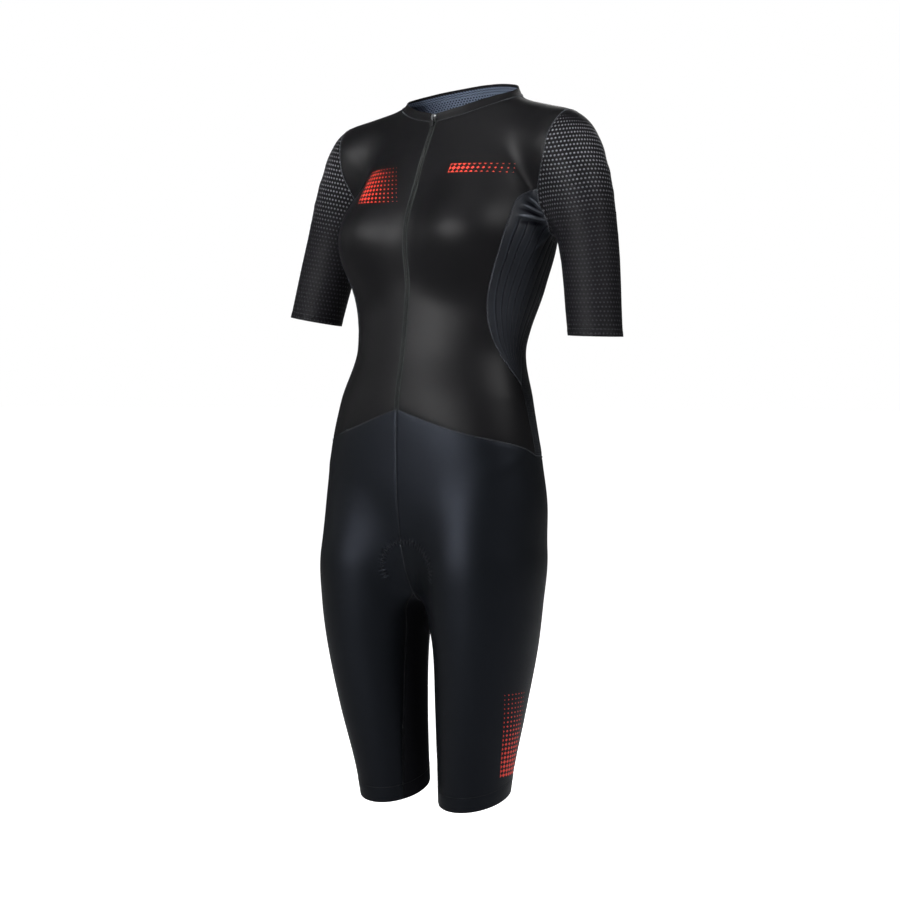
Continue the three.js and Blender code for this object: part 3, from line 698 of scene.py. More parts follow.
def place(tree, kind, inputs=None, **settings):
    """Adds a node, sets it up and links its inputs. Gives its outputs."""
    node = tree.nodes.new(f"ShaderNode{kind}")
    for key, value in settings.items():
        setattr(node, key, value)
    for key, value in (inputs or {}).items():
        if isinstance(value, bpy.types.NodeSocket):
            tree.links.new(value, node.inputs[key])
        else:
            node.inputs[key].default_value = value
    return node.outputs


def maths(tree, operation, *values, clamp=False):
    return place(tree, "Math", dict(enumerate(values)), operation=operation, use_clamp=clamp)[0]


def ramp(tree, value, start, end, low=0.0, high=1.0):
    inputs = {0: value, 1: start, 2: end, 3: low, 4: high}
    return place(tree, "MapRange", inputs, interpolation_type="SMOOTHSTEP")[0]


def group(name, inputs, outputs):
    """A new node group. Gives its tree, its inputs by name and its end node."""
    tree = bpy.data.node_groups.new(name, "ShaderNodeTree")
    for key, value in inputs.items():
        kind = "NodeSocketVector" if value is None else "NodeSocketFloat"
        socket = tree.interface.new_socket(key, in_out="INPUT", socket_type=kind)
        if value is not None:
            socket.default_value = value
    for key in outputs:
        tree.interface.new_socket(key, in_out="OUTPUT", socket_type="NodeSocketFloat")
    start = tree.nodes.new("NodeGroupInput")
    end = tree.nodes.new("NodeGroupOutput")
    return tree, start.outputs, end


def use(tree, made, inputs):
    """Places a group in a tree and gives its outputs."""
    node = tree.nodes.new("ShaderNodeGroup")
    node.node_tree = made
    for key, value in inputs.items():
        if isinstance(value, bpy.types.NodeSocket):
            tree.links.new(value, node.inputs[key])
        else:
            node.inputs[key].default_value = value
    return node.outputs


def finish_group(tree, end, **outputs):
    for key, value in outputs.items():
        tree.links.new(value, end.inputs[key.replace("_", " ")])
    return tree


def knit_group():
    """Jersey loops: columns of V shapes, pitch across and up in millimetres."""
    tree, given, end = group("knit loops", {"Place": None, "Across": 1.0, "Up": 0.8}, ["Height"])
    at = place(tree, "SeparateXYZ", {0: given["Place"]})
    column = maths(tree, "FRACT", maths(tree, "DIVIDE", at["X"], given["Across"]))
    slant = maths(tree, "ABSOLUTE", maths(tree, "SUBTRACT", column, 0.5))
    row = maths(tree, "ADD", maths(tree, "DIVIDE", at["Y"], given["Up"]), slant)
    loop = maths(tree, "SINE", maths(tree, "MULTIPLY", row, 2 * np.pi))
    crown = maths(tree, "SINE", maths(tree, "MULTIPLY", column, 2 * np.pi))
    height = maths(tree, "ADD", maths(tree, "MULTIPLY", loop, 0.3), maths(tree, "ABSOLUTE", crown))
    return finish_group(tree, end, Height=height)


def dots_group():
    """A staggered lattice of dots: the pitch along a row, the rows' pitch and the dots' radius, in millimetres."""
    inputs = {"Place": None, "Pitch": 7.0, "Row Pitch": 3.5, "Radius": 1.6, "Edge": 0.8}
    tree, given, end = group("staggered dots", inputs, ["Mask"])
    at = place(tree, "SeparateXYZ", {0: given["Place"]})
    row = maths(tree, "DIVIDE", at["Y"], given["Row Pitch"])
    shift = maths(tree, "MULTIPLY", maths(tree, "MODULO", maths(tree, "FLOOR", row), 2.0), 0.5)
    column = maths(tree, "ADD", maths(tree, "DIVIDE", at["X"], given["Pitch"]), shift)
    across = maths(tree, "SUBTRACT", maths(tree, "FRACT", column), 0.5)
    up = maths(tree, "SUBTRACT", maths(tree, "FRACT", row), 0.5)
    across = maths(tree, "POWER", maths(tree, "MULTIPLY", across, given["Pitch"]), 2.0)
    up = maths(tree, "POWER", maths(tree, "MULTIPLY", up, given["Row Pitch"]), 2.0)
    away = maths(tree, "SQRT", maths(tree, "ADD", across, up))
    inner = maths(tree, "SUBTRACT", given["Radius"], given["Edge"])
    return finish_group(tree, end, Mask=ramp(tree, away, given["Radius"], inner))


def tone_group():
    """Soft uneven tone of dyed cloth with fine speckle, round 1."""
    tree, given, end = group("dye tone", {"Place": None, "Amount": 0.15, "Speckle": 0.1}, ["Tone"])
    noise = {"Vector": given["Place"], "Detail": 3.0, "Roughness": 0.6}
    broad = place(tree, "TexNoise", {**noise, "Scale": 0.02})[0]
    fine = place(tree, "TexNoise", {**noise, "Scale": 0.9})[0]
    broad = maths(tree, "MULTIPLY", maths(tree, "SUBTRACT", broad, 0.5), given["Amount"])
    fine = maths(tree, "MULTIPLY", maths(tree, "SUBTRACT", fine, 0.5), given["Speckle"])
    return finish_group(tree, end, Tone=maths(tree, "ADD", maths(tree, "ADD", broad, fine), 1.0))


def print_group():
    """Printed diamonds in a box, largest at one end and smaller towards the other. All sizes in metres."""
    inputs = {"Place": None, "Across": 0.0, "Up": 0.0, "Width": 0.06, "Height": 0.03, "Pitch": 0.006, "Lean": 0.0, "Turn": 0.0}
    tree, given, end = group("printed diamonds", inputs, ["Mask"])
    at = place(tree, "SeparateXYZ", {0: given["Place"]})
    up = maths(tree, "SUBTRACT", at["Y"], given["Up"])
    across = maths(tree, "SUBTRACT", maths(tree, "SUBTRACT", at["X"], given["Across"]), maths(tree, "MULTIPLY", up, given["Lean"]))
    u = maths(tree, "DIVIDE", across, given["Width"])
    v = maths(tree, "DIVIDE", up, given["Height"])
    box = maths(tree, "MAXIMUM", maths(tree, "ABSOLUTE", u), maths(tree, "ABSOLUTE", v))
    inside = maths(tree, "LESS_THAN", box, 0.5)
    shares = []
    for offset in (across, up):
        cell = maths(tree, "FRACT", maths(tree, "ADD", maths(tree, "DIVIDE", offset, given["Pitch"]), 100.5))
        shares.append(maths(tree, "ABSOLUTE", maths(tree, "SUBTRACT", cell, 0.5)))
    diamond = maths(tree, "ADD", shares[0], shares[1])
    level = maths(tree, "MULTIPLY", u, maths(tree, "SUBTRACT", 1.0, given["Turn"]))
    along = maths(tree, "ADD", level, maths(tree, "MULTIPLY", v, given["Turn"]))
    size = ramp(tree, along, -0.5, 0.5, 0.46, 0.16)
    mask = maths(tree, "MULTIPLY", maths(tree, "LESS_THAN", diamond, size), inside)
    return finish_group(tree, end, Mask=mask)


KNIT = knit_group()
DOTS = dots_group()
TONE = tone_group()
PRINT = print_group()
PRINT_COLOUR = (0.72, 0.055, 0.035, 1)


class Finish:
    """A material being built: its tree, its place on the cloth and its main shader."""

    def __init__(self, name, roughness, sheen=0.0, metallic=0.0, sheen_tint=(1, 1, 1, 1), specular=0.3):
        self.material = bpy.data.materials.new(name)
        self.material.use_nodes = True
        self.tree = self.material.node_tree
        self.shader = self.tree.nodes["Principled BSDF"]
        values = {
            "Roughness": roughness,
            "Metallic": metallic,
            "Sheen Weight": sheen,
            "Sheen Roughness": 0.5,
            "Sheen Tint": sheen_tint,
            "Specular IOR Level": specular,
        }
        for key, value in values.items():
            self.shader.inputs[key].default_value = value
        self.place = place(self.tree, "UVMap", uv_map=CLOTH_MAP)[0]
        self.height = None

    def colour(self, base, amount=0.25, speckle=0.5):
        tone = use(self.tree, TONE, {"Place": self.place, "Amount": amount, "Speckle": speckle})[0]
        scaled = place(self.tree, "VectorMath", {0: (*base,), "Scale": tone}, operation="SCALE")[0]
        self.base = scaled

    def over(self, mask, colour):
        self.base = place(self.tree, "Mix", {0: mask, 6: self.base, 7: colour}, data_type="RGBA")[2]

    def mark(self, name):
        return place(self.tree, "Attribute", attribute_name=name)["Fac"]

    def bump(self, height, distance):
        """Adds relief, its full height in millimetres."""
        inputs = {"Height": height, "Distance": distance * METRE, "Strength": 1.0}
        if self.height is not None:
            inputs["Normal"] = self.height
        self.height = place(self.tree, "Bump", inputs)[0]

    def roughen(self, mask, low, high):
        self.tree.links.new(ramp(self.tree, mask, 0.0, 1.0, low, high), self.shader.inputs["Roughness"])

    def done(self):
        self.tree.links.new(self.base, self.shader.inputs["Base Color"])
        if self.height is not None:
            self.tree.links.new(self.height, self.shader.inputs["Normal"])
        return self.material


def smooth_knit(name, base, roughness, sheen=0.0, specular=0.09, depth=0.018, tint=(1, 1, 1, 1)):
    """The start of a fine smooth knit."""
    made = Finish(name, roughness, sheen, specular=specular)
    made.shader.inputs["Specular Tint"].default_value = tint
    made.colour(base)
    made.bump(use(made.tree, KNIT, {"Place": made.place, "Across": 0.9, "Up": 0.7})[0], depth)
    return made


def printed(made, axes, prints):
    """Prints on a cloth, placed level on the plane of two of its axes and on one side of the suit."""
    at = place(made.tree, "SeparateXYZ", {0: place(made.tree, "TexCoord")["Object"]})
    flat = place(made.tree, "CombineXYZ", {"X": at[axes[0]], "Y": at[axes[1]]})[0]
    for facing_axis, sign, places in prints:
        side = maths(made.tree, "GREATER_THAN", maths(made.tree, "MULTIPLY", at[facing_axis], float(sign)), 0.0)
        mask = maths(made.tree, "MULTIPLY", use(made.tree, PRINT, {"Place": flat, **places})[0], side)
        made.over(mask, PRINT_COLOUR)
        made.bump(mask, 0.12)


def front_knit():
    made = smooth_knit("satin front knit", (0.0032, 0.0031, 0.0037), 0.47, specular=0.11)
    printed(made, ("X", "Z"), CHEST_PRINTS)
    return made.done()


def ribbed_knit():
    """Side panel cloth: a groove between ribs darkened with painted shade, with a painted highlight along one edge
    beside it; painted highlights and shade also lie on the folds.
    """
    made = smooth_knit("ribbed side knit", (0.0105, 0.0117, 0.0145), 0.45, specular=0.09)
    # Painted shade darkens each groove, and a painted highlight runs along one side of it, below the pleats
    rib = maths(made.tree, "FRACT", made.mark("rib"))
    groove = ramp(made.tree, maths(made.tree, "ABSOLUTE", maths(made.tree, "SUBTRACT", rib, 0.5)), 0.41, 0.48)
    pale = ramp(made.tree, maths(made.tree, "ABSOLUTE", maths(made.tree, "SUBTRACT", rib, 0.78)), 0.12, 0.02)
    below = made.mark("below_pleats")
    groove = maths(made.tree, "MULTIPLY", groove, below)
    made.over(maths(made.tree, "MULTIPLY", maths(made.tree, "MULTIPLY", pale, 0.6), below), (0.024, 0.027, 0.034, 1))
    made.over(groove, (0.002, 0.002, 0.004, 1))
    # Painted highlight on the fold ridges and painted shade in the fold troughs, set by how far each fold lifts the
    # cloth
    fold = made.mark("fold")
    made.over(ramp(made.tree, fold, 0.5, 1.6), (0.06, 0.066, 0.078, 1))
    made.over(ramp(made.tree, fold, -0.1, -0.6), (0.002, 0.002, 0.004, 1))
    made.bump(maths(made.tree, "SUBTRACT", 1.0, groove), 0.4)
    return made.done()


def dotted_knit():
    """Sleeve cloth: raised paler dots in staggered rows, smaller towards the top of the armhole, with a painted
    highlight brightening them near the top of the shoulder.
    """
    made = smooth_knit("dotted sleeve knit", (0.0042, 0.0041, 0.0049), 0.5, specular=0.05)
    size = ramp(made.tree, made.mark("from_top"), 10.0, 42.0, 0.4, 1.85)
    inputs = {"Place": made.place, "Pitch": 5.0, "Row Pitch": 5.9, "Radius": size, "Edge": 1.3}
    dots = use(made.tree, DOTS, inputs)[0]
    # Painted highlight: the dots are brightened near the top of the shoulder
    high = ramp(made.tree, made.mark("from_top"), 170.0, 60.0)
    made.over(dots, (0.022, 0.022, 0.025, 1))
    made.over(maths(made.tree, "MULTIPLY", dots, high), (0.15, 0.15, 0.166, 1))
    made.bump(dots, 0.5)
    return made.done()


def mesh_start(name, base, hole):
    """Hexagon mesh with open cells."""
    made = smooth_knit(name, base, 0.6)
    holes = use(made.tree, DOTS, {"Place": made.place, "Pitch": 4.2, "Row Pitch": 3.4, "Radius": 1.6, "Edge": 0.6})[0]
    made.over(holes, hole)
    made.bump(maths(made.tree, "SUBTRACT", 1.0, holes), 0.4)
    return made


def mesh_knit(name, base, hole):
    return mesh_start(name, base, hole).done()


def shorts_knit():
    """Shorts cloth: smooth with a soft sheen, puckered along the pad's stitched arc."""
    made = smooth_knit("sheen shorts knit", (0.0009, 0.0012, 0.0016), 0.49, specular=0.2, tint=(0.72, 0.8, 1, 1))
    wave = maths(made.tree, "SINE", maths(made.tree, "MULTIPLY", made.mark("arc_along"), 2 * np.pi / PUCKER_PITCH))
    uneven = place(made.tree, "TexNoise", {"Vector": made.place, "Scale": 0.16, "Detail": 2.0})[0]
    uneven = ramp(made.tree, uneven, 0.35, 0.6, 0.25, 1.0)
    near = maths(made.tree, "MULTIPLY", ramp(made.tree, made.mark("arc_away"), 7.0, 1.0), uneven)
    made.bump(maths(made.tree, "MULTIPLY", wave, near), 1.0)
    printed(made, ("Y", "Z"), THIGH_PRINTS)
    return made.done()


def plain_knit(name, base, roughness, sheen=0.0, specular=0.12):
    return smooth_knit(name, base, roughness, sheen, specular).done()


def plastic(name, base, roughness, grain=0.02):
    made = Finish(name, roughness)
    made.colour(base, 0.1, 0.1)
    noise = place(made.tree, "TexNoise", {"Scale": 1500.0, "Detail": 3.0})[0]
    made.bump(noise, grain)
    return made.done()


def zip_cloth():
    """Zip tape folded over its coil: fine ribs across, with a painted highlight on the two ridges."""
    made = Finish("ribbed zip tape", 0.55, specular=0.1)
    made.colour((0.0085, 0.0095, 0.0095), 0.15, 0.2)
    at = place(made.tree, "SeparateXYZ", {0: made.place})
    # Painted highlight along the two raised ridges, broken into dashes by the ribs
    away = maths(made.tree, "ABSOLUTE", maths(made.tree, "SUBTRACT", maths(made.tree, "ABSOLUTE", at["X"]), RIDGE_PLACE))
    ridge = ramp(made.tree, away, 0.8, 0.3)
    rib = maths(made.tree, "SINE", maths(made.tree, "MULTIPLY", at["Y"], 2 * np.pi / COIL_PITCH))
    tooth = ramp(made.tree, rib, -0.6, 0.8, 0.35, 1.0)
    made.over(maths(made.tree, "MULTIPLY", ridge, tooth), (0.03, 0.034, 0.033, 1))
    made.bump(rib, 0.12)
    return made.done()


def band_inside():
    """Inside of the neckband: the back's mesh up to a plain binding."""
    made = mesh_start("neckband inside", *MESH_INSIDE)
    height = place(made.tree, "SeparateXYZ", {0: made.place})["Y"]
    made.over(ramp(made.tree, height, BINDING_EDGE, BINDING_EDGE + 0.4), (0.0075, 0.0075, 0.0085, 1))
    return made.done()


def plated_metal():
    made = Finish("plated slider metal", 0.3, metallic=1.0)
    made.colour((0.62, 0.63, 0.65), 0.05, 0.1)
    scratch = place(made.tree, "TexNoise", {"Scale": 900.0, "Detail": 5.0, "Roughness": 0.7})[0]
    made.roughen(scratch, 0.2, 0.42)
    made.bump(scratch, 0.02)
    return made.done()


# Prints: where their middles lie on the plane they are set out on, in metres, and which way their diamonds shrink
MESH_INSIDE = ((0.13, 0.16, 0.225), (0.012, 0.016, 0.025, 1))
BINDING_EDGE = 8.2
PUCKER_PITCH = 5.0
PAD_ARC_REACH = 80.0
CHEST_PRINTS = [
    ("X", -1, {"Across": -0.06, "Up": -0.1, "Width": 0.06, "Height": 0.048, "Pitch": 0.006, "Lean": -0.4, "Turn": 0.0}),
    ("X", 1, {"Across": 0.082, "Up": -0.082, "Width": 0.072, "Height": 0.012, "Pitch": 0.006, "Turn": 0.0}),
]
THIGH_PRINTS = [
    ("X", 1, {"Across": -0.055, "Up": -0.815, "Width": 0.036, "Height": 0.114, "Pitch": 0.006, "Lean": -0.2, "Turn": 1.0}),
]

LOOKS = {
    "bodice": front_knit(),
    "rib": ribbed_knit(),
    "sleeve": dotted_knit(),
    "mesh": mesh_knit("back mesh knit", (0.012, 0.0135, 0.0165), (0.002, 0.0023, 0.003, 1)),
    "mesh_inside": mesh_knit("back mesh, inside", *MESH_INSIDE),
    "band_inside": band_inside(),
    "band": plain_knit("neckband knit", (0.0046, 0.0045, 0.0051), 0.5, specular=0.075),
    "shorts": shorts_knit(),
    "inner_leg": plain_knit("dull inner-leg knit", (0.0075, 0.0077, 0.0095), 0.9, specular=0.02),
    "inside": plain_knit("cloth's inside", (0.012, 0.013, 0.015), 0.85),
    "pad": plain_knit("brushed pad cover", (0.008, 0.009, 0.0105), 0.9, 0.1),
    "tape": zip_cloth(),
    "coil": plastic("nylon zip coil", (0.006, 0.0065, 0.0065), 0.45),
    "thread_dark": plastic("dark sewing thread", (0.012, 0.013, 0.015), 0.6),
    "thread_grey": plastic("dull sewing thread", (0.045, 0.05, 0.056), 0.6),
    "thread_light": plastic("grey sewing thread", (0.07, 0.076, 0.088), 0.55),
    "slider": plated_metal(),
    "tab": plastic("black tab plastic", (0.001, 0.001, 0.0012), 0.5),
}

# Meshes


def mesh_object(name, points, faces, uv=None, parts=None, looks=(), marks=None):
    """An object from points in millimetres and faces of one size. marks are named numbers, one a point."""
    mesh = bpy.data.meshes.new(name)
    faces = np.asarray(faces)
    count, corners = faces.shape
    mesh.vertices.add(len(points))
    mesh.vertices.foreach_set("co", (np.asarray(points) * METRE).ravel())
    mesh.loops.add(count * corners)
    mesh.loops.foreach_set("vertex_index", faces.ravel())
    mesh.polygons.add(count)
    mesh.polygons.foreach_set("loop_start", np.arange(count) * corners)
    mesh.polygons.foreach_set("use_smooth", np.ones(count, bool))
    if parts is not None:
        mesh.polygons.foreach_set("material_index", parts)
    if uv is not None:
        layer = mesh.uv_layers.new(name=CLOTH_MAP)
        layer.data.foreach_set("uv", uv[faces.ravel()].ravel())
    for key, values in (marks or {}).items():
        mesh.attributes.new(key, "FLOAT", "POINT").data.foreach_set("value", np.asarray(values, np.float32))
    for look in looks:
        mesh.materials.append(look)
    mesh.update(calc_edges=True)
    made = bpy.data.objects.new(name, mesh)
    bpy.context.scene.collection.objects.link(made)
    return made


def grid_faces(rows, columns):
    a = (np.arange(rows - 1)[:, None] * columns + np.arange(columns - 1)[None]).ravel()
    return np.column_stack([a, a + 1, a + columns + 1, a + columns])


def crisp_edge(mesh, starts, ends):
    """Keeps the shading of a cut edge off the cloth beside it."""
    pairs = np.zeros(len(mesh.edges) * 2, np.int64)
    mesh.edges.foreach_get("vertices", pairs)
    low, high = np.sort(pairs.reshape(-1, 2), axis=1).T
    count = len(mesh.vertices)
    wanted = np.minimum(starts, ends) * count + np.maximum(starts, ends)
    crisp = np.isin(low * count + high, wanted)
    mesh.attributes.new("sharp_edge", "BOOLEAN", "EDGE").data.foreach_set("value", crisp)


def shell(name, grid, relief, uv, looks, marks=None, thickness=CLOTH):
    """A thin closed cloth: an outer and an inner face over a net, joined round the edge."""
    normals = facing(grid)
    outer = grid + normals * relief[..., None]
    inner = outer - normals * thickness
    rows, columns = grid.shape[:2]
    size = rows * columns
    faces = grid_faces(rows, columns)
    index = np.arange(size).reshape(rows, columns)
    edge = np.concatenate([index[0], index[1:, -1], index[-1, -2::-1], index[-2:0:-1, 0]])
    after = np.roll(edge, -1)
    rim = np.column_stack([after, edge, edge + size, after + size])
    middle = faces[len(faces) // 2 + columns // 2]
    corners = outer.reshape(-1, 3)[middle]
    turned = np.cross(corners[1] - corners[0], corners[3] - corners[0]) @ normals.reshape(-1, 3)[middle[0]] < 0
    every = np.concatenate([faces, faces[:, ::-1] + size, rim])
    if turned:
        every = every[:, ::-1]
    parts = np.repeat([0, 1, 0], [len(faces), len(faces), len(rim)])
    points = np.concatenate([outer.reshape(-1, 3), inner.reshape(-1, 3)])
    maps = np.tile(uv.reshape(-1, 2), (2, 1))
    marks = {key: np.tile(values.ravel(), 2) for key, values in (marks or {}).items()}
    made = mesh_object(name, points, every, maps, parts, looks, marks)
    crisp_edge(made.data, np.concatenate([edge, edge + size]), np.concatenate([after, after + size]))
    return made


def cloth(name, node, grid, relief, uv, slot, inside="inside", marks=None):
    """One cut piece of the suit as a sheet that is held stretched over the figure."""
    made = shell(name, grid, relief, uv, [LOOKS[slot], LOOKS[inside]], marks)
    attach(made, SUIT_BODY)
    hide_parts(node)
    return made


def sides(grid, relief, name, slot, middle_column=0, marks=lambda sign: None):
    """The same piece on the wearer's left and right."""
    for side, sign in (("left", 1), ("right", -1)):
        half = grid if sign > 0 else mirrored(grid)
        uv = cloth_map(grid, middle_column, sign)
        cloth(f"{name}_cloth_{side}", f"{name}_{side}", half, relief, uv, slot, marks=marks(sign))


def rib_marks(sign):
    """Which rib of the side panel a point lies on, as a running number, and how far a fold lifts it."""
    grid = NETS["side"]
    rib = np.linspace(0, RIBS, grid.shape[1])[None] * np.ones((len(grid), 1))
    return {"rib": rib, "fold": folded(grid), "below_pleats": np.clip((PLEATS_END - grid[..., 2]) / 10, 0, 1)}


def arc_marks(sign):
    """How far a point of the shorts lies from the pad's stitched arc, and where along it."""
    points = NETS["shorts"] * [sign, 1, 1]
    arc = PAD_ARC_LINES[sign]
    away, along = np.full(points.shape[:2], PAD_ARC_REACH), np.zeros(points.shape[:2])
    near = np.linalg.norm(points - arc.mean(0), axis=-1) < PAD_ARC_REACH
    away[near], along[near] = nearest(points[near], arc)
    return {"arc_away": away, "arc_along": along}


def sleeve_map(rings, sign):
    """Millimetres over the sleeve: across from the middle of its outside, and up from the hem."""
    arm = np.array(ARM[:0:-1], float)
    centre_x, centre_y, radius = [np.interp(rings[..., 2], arm[:, 2], arm[:, k]) for k in (0, 1, 3)]
    turn = np.arctan2(rings[..., 1] - centre_y, rings[..., 0] - centre_x)
    turn = np.unwrap(turn, axis=1)
    middle = turn[:, rings.shape[1] // 2]
    turn -= 2 * np.pi * np.round(middle / (2 * np.pi))[:, None]
    return np.stack([sign * turn * radius, lengths(rings[::-1])[::-1]], -1)


def sleeve_marks(rings):
    """How far a point of the sleeve lies from the top of the shoulder."""
    return {"from_top": np.linalg.norm(rings - SHOULDER_TOP, axis=-1)}


sides(NETS["front"], RELIEF["front"], "front", "bodice")
sides(NETS["side"], RELIEF["side"], "side", "rib", middle_column=NETS["side"].shape[1] // 2, marks=rib_marks)
sides(NETS["shorts"], RELIEF["shorts"], "shorts", "shorts", marks=arc_marks)
sides(NETS["inner_leg"], RELIEF["inner_leg"], "inner_leg", "inner_leg")
back_map = cloth_map(NETS["back"], NETS["back"].shape[1] // 2)
cloth("back_cloth", "back", NETS["back"], RELIEF["back"], back_map, "mesh", inside="mesh_inside")
band_map = cloth_map(NETS["neckband"], 0)
cloth("neckband_cloth", "neckband", NETS["neckband"], RELIEF["neckband"], band_map, "band", inside="band_inside")
for side, sign in (("left", 1), ("right", -1)):
    rings = NETS[f"sleeve_{side}"]
    placed = rings if sign > 0 else mirrored(rings)
    ring_map = sleeve_map(rings, sign)
    name = f"sleeve_cloth_{side}"
    cloth(name, f"sleeve_{side}", placed, RELIEF[f"sleeve_{side}"], ring_map, "sleeve", marks=sleeve_marks(rings))


# Zip: woven tape, two rows of coil and the slider's finishes



def zip_line():
    edge = joined(zip_edge, band_edge)
    middle = settled(edge * [0, 1, 1], on_centre=True)
    return middle


ZIP_LINE = zip_line()


def zip_tape():
    across = np.linspace(-TAPE_HALF_WIDTH, TAPE_HALF_WIDTH, 33)
    edge = joined(zip_edge, band_edge)
    wide = edge[:, :1] * across / TAPE_HALF_WIDTH
    grid = settled(edge[:, None] * [0, 1, 1] + wide[..., None] * [1, 0, 0], turns=4)
    grid[..., 0] = wide
    ridge = 0.3 * np.exp(-(((np.abs(across) - RIDGE_PLACE) / 0.5) ** 2))
    groove = -0.25 * np.exp(-((across / 0.45) ** 2))
    rise = (0.1 + ridge + groove)[None] * np.ones((len(edge), 1))
    made = shell("zip_tape", grid, rise, cloth_map(grid, 16), [LOOKS["tape"], LOOKS["tape"]])
    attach(made, SUIT_BODY)
    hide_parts("zip_strip")
    return made


def tubes(paths, radius, sides=6):
    """Round tubes along paths of points, all of one count. paths is tubes by points by three."""
    along = np.gradient(paths, axis=1)
    along /= np.linalg.norm(along, axis=-1)[..., None]
    aside = np.cross(along, [0.31, 0.22, 0.92])
    aside /= np.linalg.norm(aside, axis=-1)[..., None]
    up = np.cross(along, aside)
    turn = np.arange(sides) * 2 * np.pi / sides
    ring = aside[:, :, None] * np.cos(turn)[:, None] + up[:, :, None] * np.sin(turn)[:, None]
    points = paths[:, :, None] + radius * ring
    count, stations = paths.shape[:2]
    index = np.arange(count * stations * sides).reshape(count, stations, sides)
    a, b = index[:, :-1], index[:, 1:]
    quads = np.stack([a, b, np.roll(b, -1, 2), np.roll(a, -1, 2)], -1).reshape(-1, 4)
    return points.reshape(-1, 3), quads


def along_line(line, pitch, start=0.0):
    """Places every pitch along a line, with the way it runs there."""
    length = lengths(line)
    at = np.arange(start, length[-1], pitch)
    rows = np.column_stack([length, line])
    here = np.column_stack([np.interp(at, length, line[:, k]) for k in range(3)])
    there = np.column_stack([np.interp(at + 0.5, length, line[:, k]) for k in range(3)])
    before = np.column_stack([np.interp(at - 0.5, length, line[:, k]) for k in range(3)])
    way = there - before
    return here, way / np.linalg.norm(way, axis=1)[:, None]


def zip_coil():
    """Two rows of bent coil teeth that mesh on the middle line."""
    here, way = along_line(ZIP_LINE, COIL_PITCH / 2, start=1.0)
    out = facing(here)
    turn = np.linspace(0.15 * np.pi, 0.95 * np.pi, 7)
    paths = []
    for side in (0, 1):
        sign = 1 if side else -1
        at, up, face = here[side::2], way[side::2], out[side::2]
        aside = np.cross(up, face) * sign
        reach = COIL_HALF_WIDTH * (0.5 + 0.62 * np.cos(np.linspace(0, np.pi, 7) * 0.98))
        rise = COIL_RISE * np.sin(turn) ** 0.6
        lean = np.linspace(-0.35, 0.35, 7) * COIL_PITCH
        path = at[:, None] + aside[:, None] * reach[:, None] + face[:, None] * rise[:, None] + up[:, None] * lean[:, None]
        paths.append(path)
    points, quads = tubes(np.concatenate(paths), COIL_RADIUS)
    made = mesh_object("zip_coil", points, quads, looks=[LOOKS["coil"]])
    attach(made, SUIT_BODY)
    return made


zip_tape()
zip_coil()
for node, look in (("zip_slider", "slider"), ("zip_pull_tab", "tab")):
    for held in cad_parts[node].material_slots:
        held.material = LOOKS[look]

# Stitching

STITCH_RADIUS = 0.22


def stitches(name, lines, pitch, reach, look, lift=0.35, slant=0.5, zigzag=1):
    """Threads across seams: each goes from one side of the line to the other, with a lean. zigzag -1 turns every other one."""
    paths = []
    for line in lines:
        here, way = along_line(line, pitch)
        face = facing(here)
        aside = np.cross(way, face)
        share = np.array([-1, -0.5, 0, 0.5, 1])
        rise = lift * (1 - share**2) + 0.02
        lean = np.where(np.arange(len(here)) % 2, slant, zigzag * slant) * pitch
        path = here[:, None] + aside[:, None] * (share * reach / 2)[:, None]
        path = path + way[:, None] * (lean[:, None, None] * share[:, None]) + face[:, None] * rise[:, None]
        paths.append(path)
    points, quads = tubes(np.concatenate(paths), STITCH_RADIUS, sides=4)
    made = mesh_object(name, points, quads, looks=[LOOKS[look]])
    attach(made, SUIT_BODY)
    return made


def both(*lines):
    return [line for one in lines for line in (one, mirrored(one))]


armhole = joined(arm_front[::-1], arm_under, arm_back)
stitches("side_panel_stitching", both(rib_front, rib_back), 1.7, 2.0, "thread_light")
stitches("armhole_stitching", both(armhole), 1.7, 1.6, "thread_light")
stitches("shoulder_stitching", both(shoulder), 1.8, 2.4, "thread_dark")
stitches("waist_stitching", both(waist_front, waist_back), 1.8, 2.0, "thread_grey")
stitches("side_seam_stitching", both(side_seam), 1.8, 2.0, "thread_dark")
stitches("rise_stitching", [front_rise, back_rise, crotch], 1.8, 1.6, "thread_grey")
stitches("inner_leg_stitching", both(inner_front, inner_back), 1.8, 1.8, "thread_dark")
stitches("neck_stitching", both(neck_seam), 1.8, 1.6, "thread_grey")
stitches("pad_arc_stitching", list(PAD_ARC_LINES.values()), 3, 4, "thread_grey", lift=0.4, slant=0.35, zigzag=-1)
leg_hem_lines = [level_line(NETS[name], LEG_HEM_WIDTH) for name in ("shorts", "inner_leg")]
stitches("leg_hem_stitching", both(*leg_hem_lines), 3, 0, "thread_dark", lift=0.3, slant=0.38)
sleeve_hem_lines = [level_line(NETS["sleeve_left"][::-1], SLEEVE_HEM_WIDTH), mirrored(level_line(NETS["sleeve_right"][::-1], SLEEVE_HEM_WIDTH))]
stitches("sleeve_hem_stitching", sleeve_hem_lines, 3, 0, "thread_dark", lift=0.3, slant=0.38)


# Seat pad


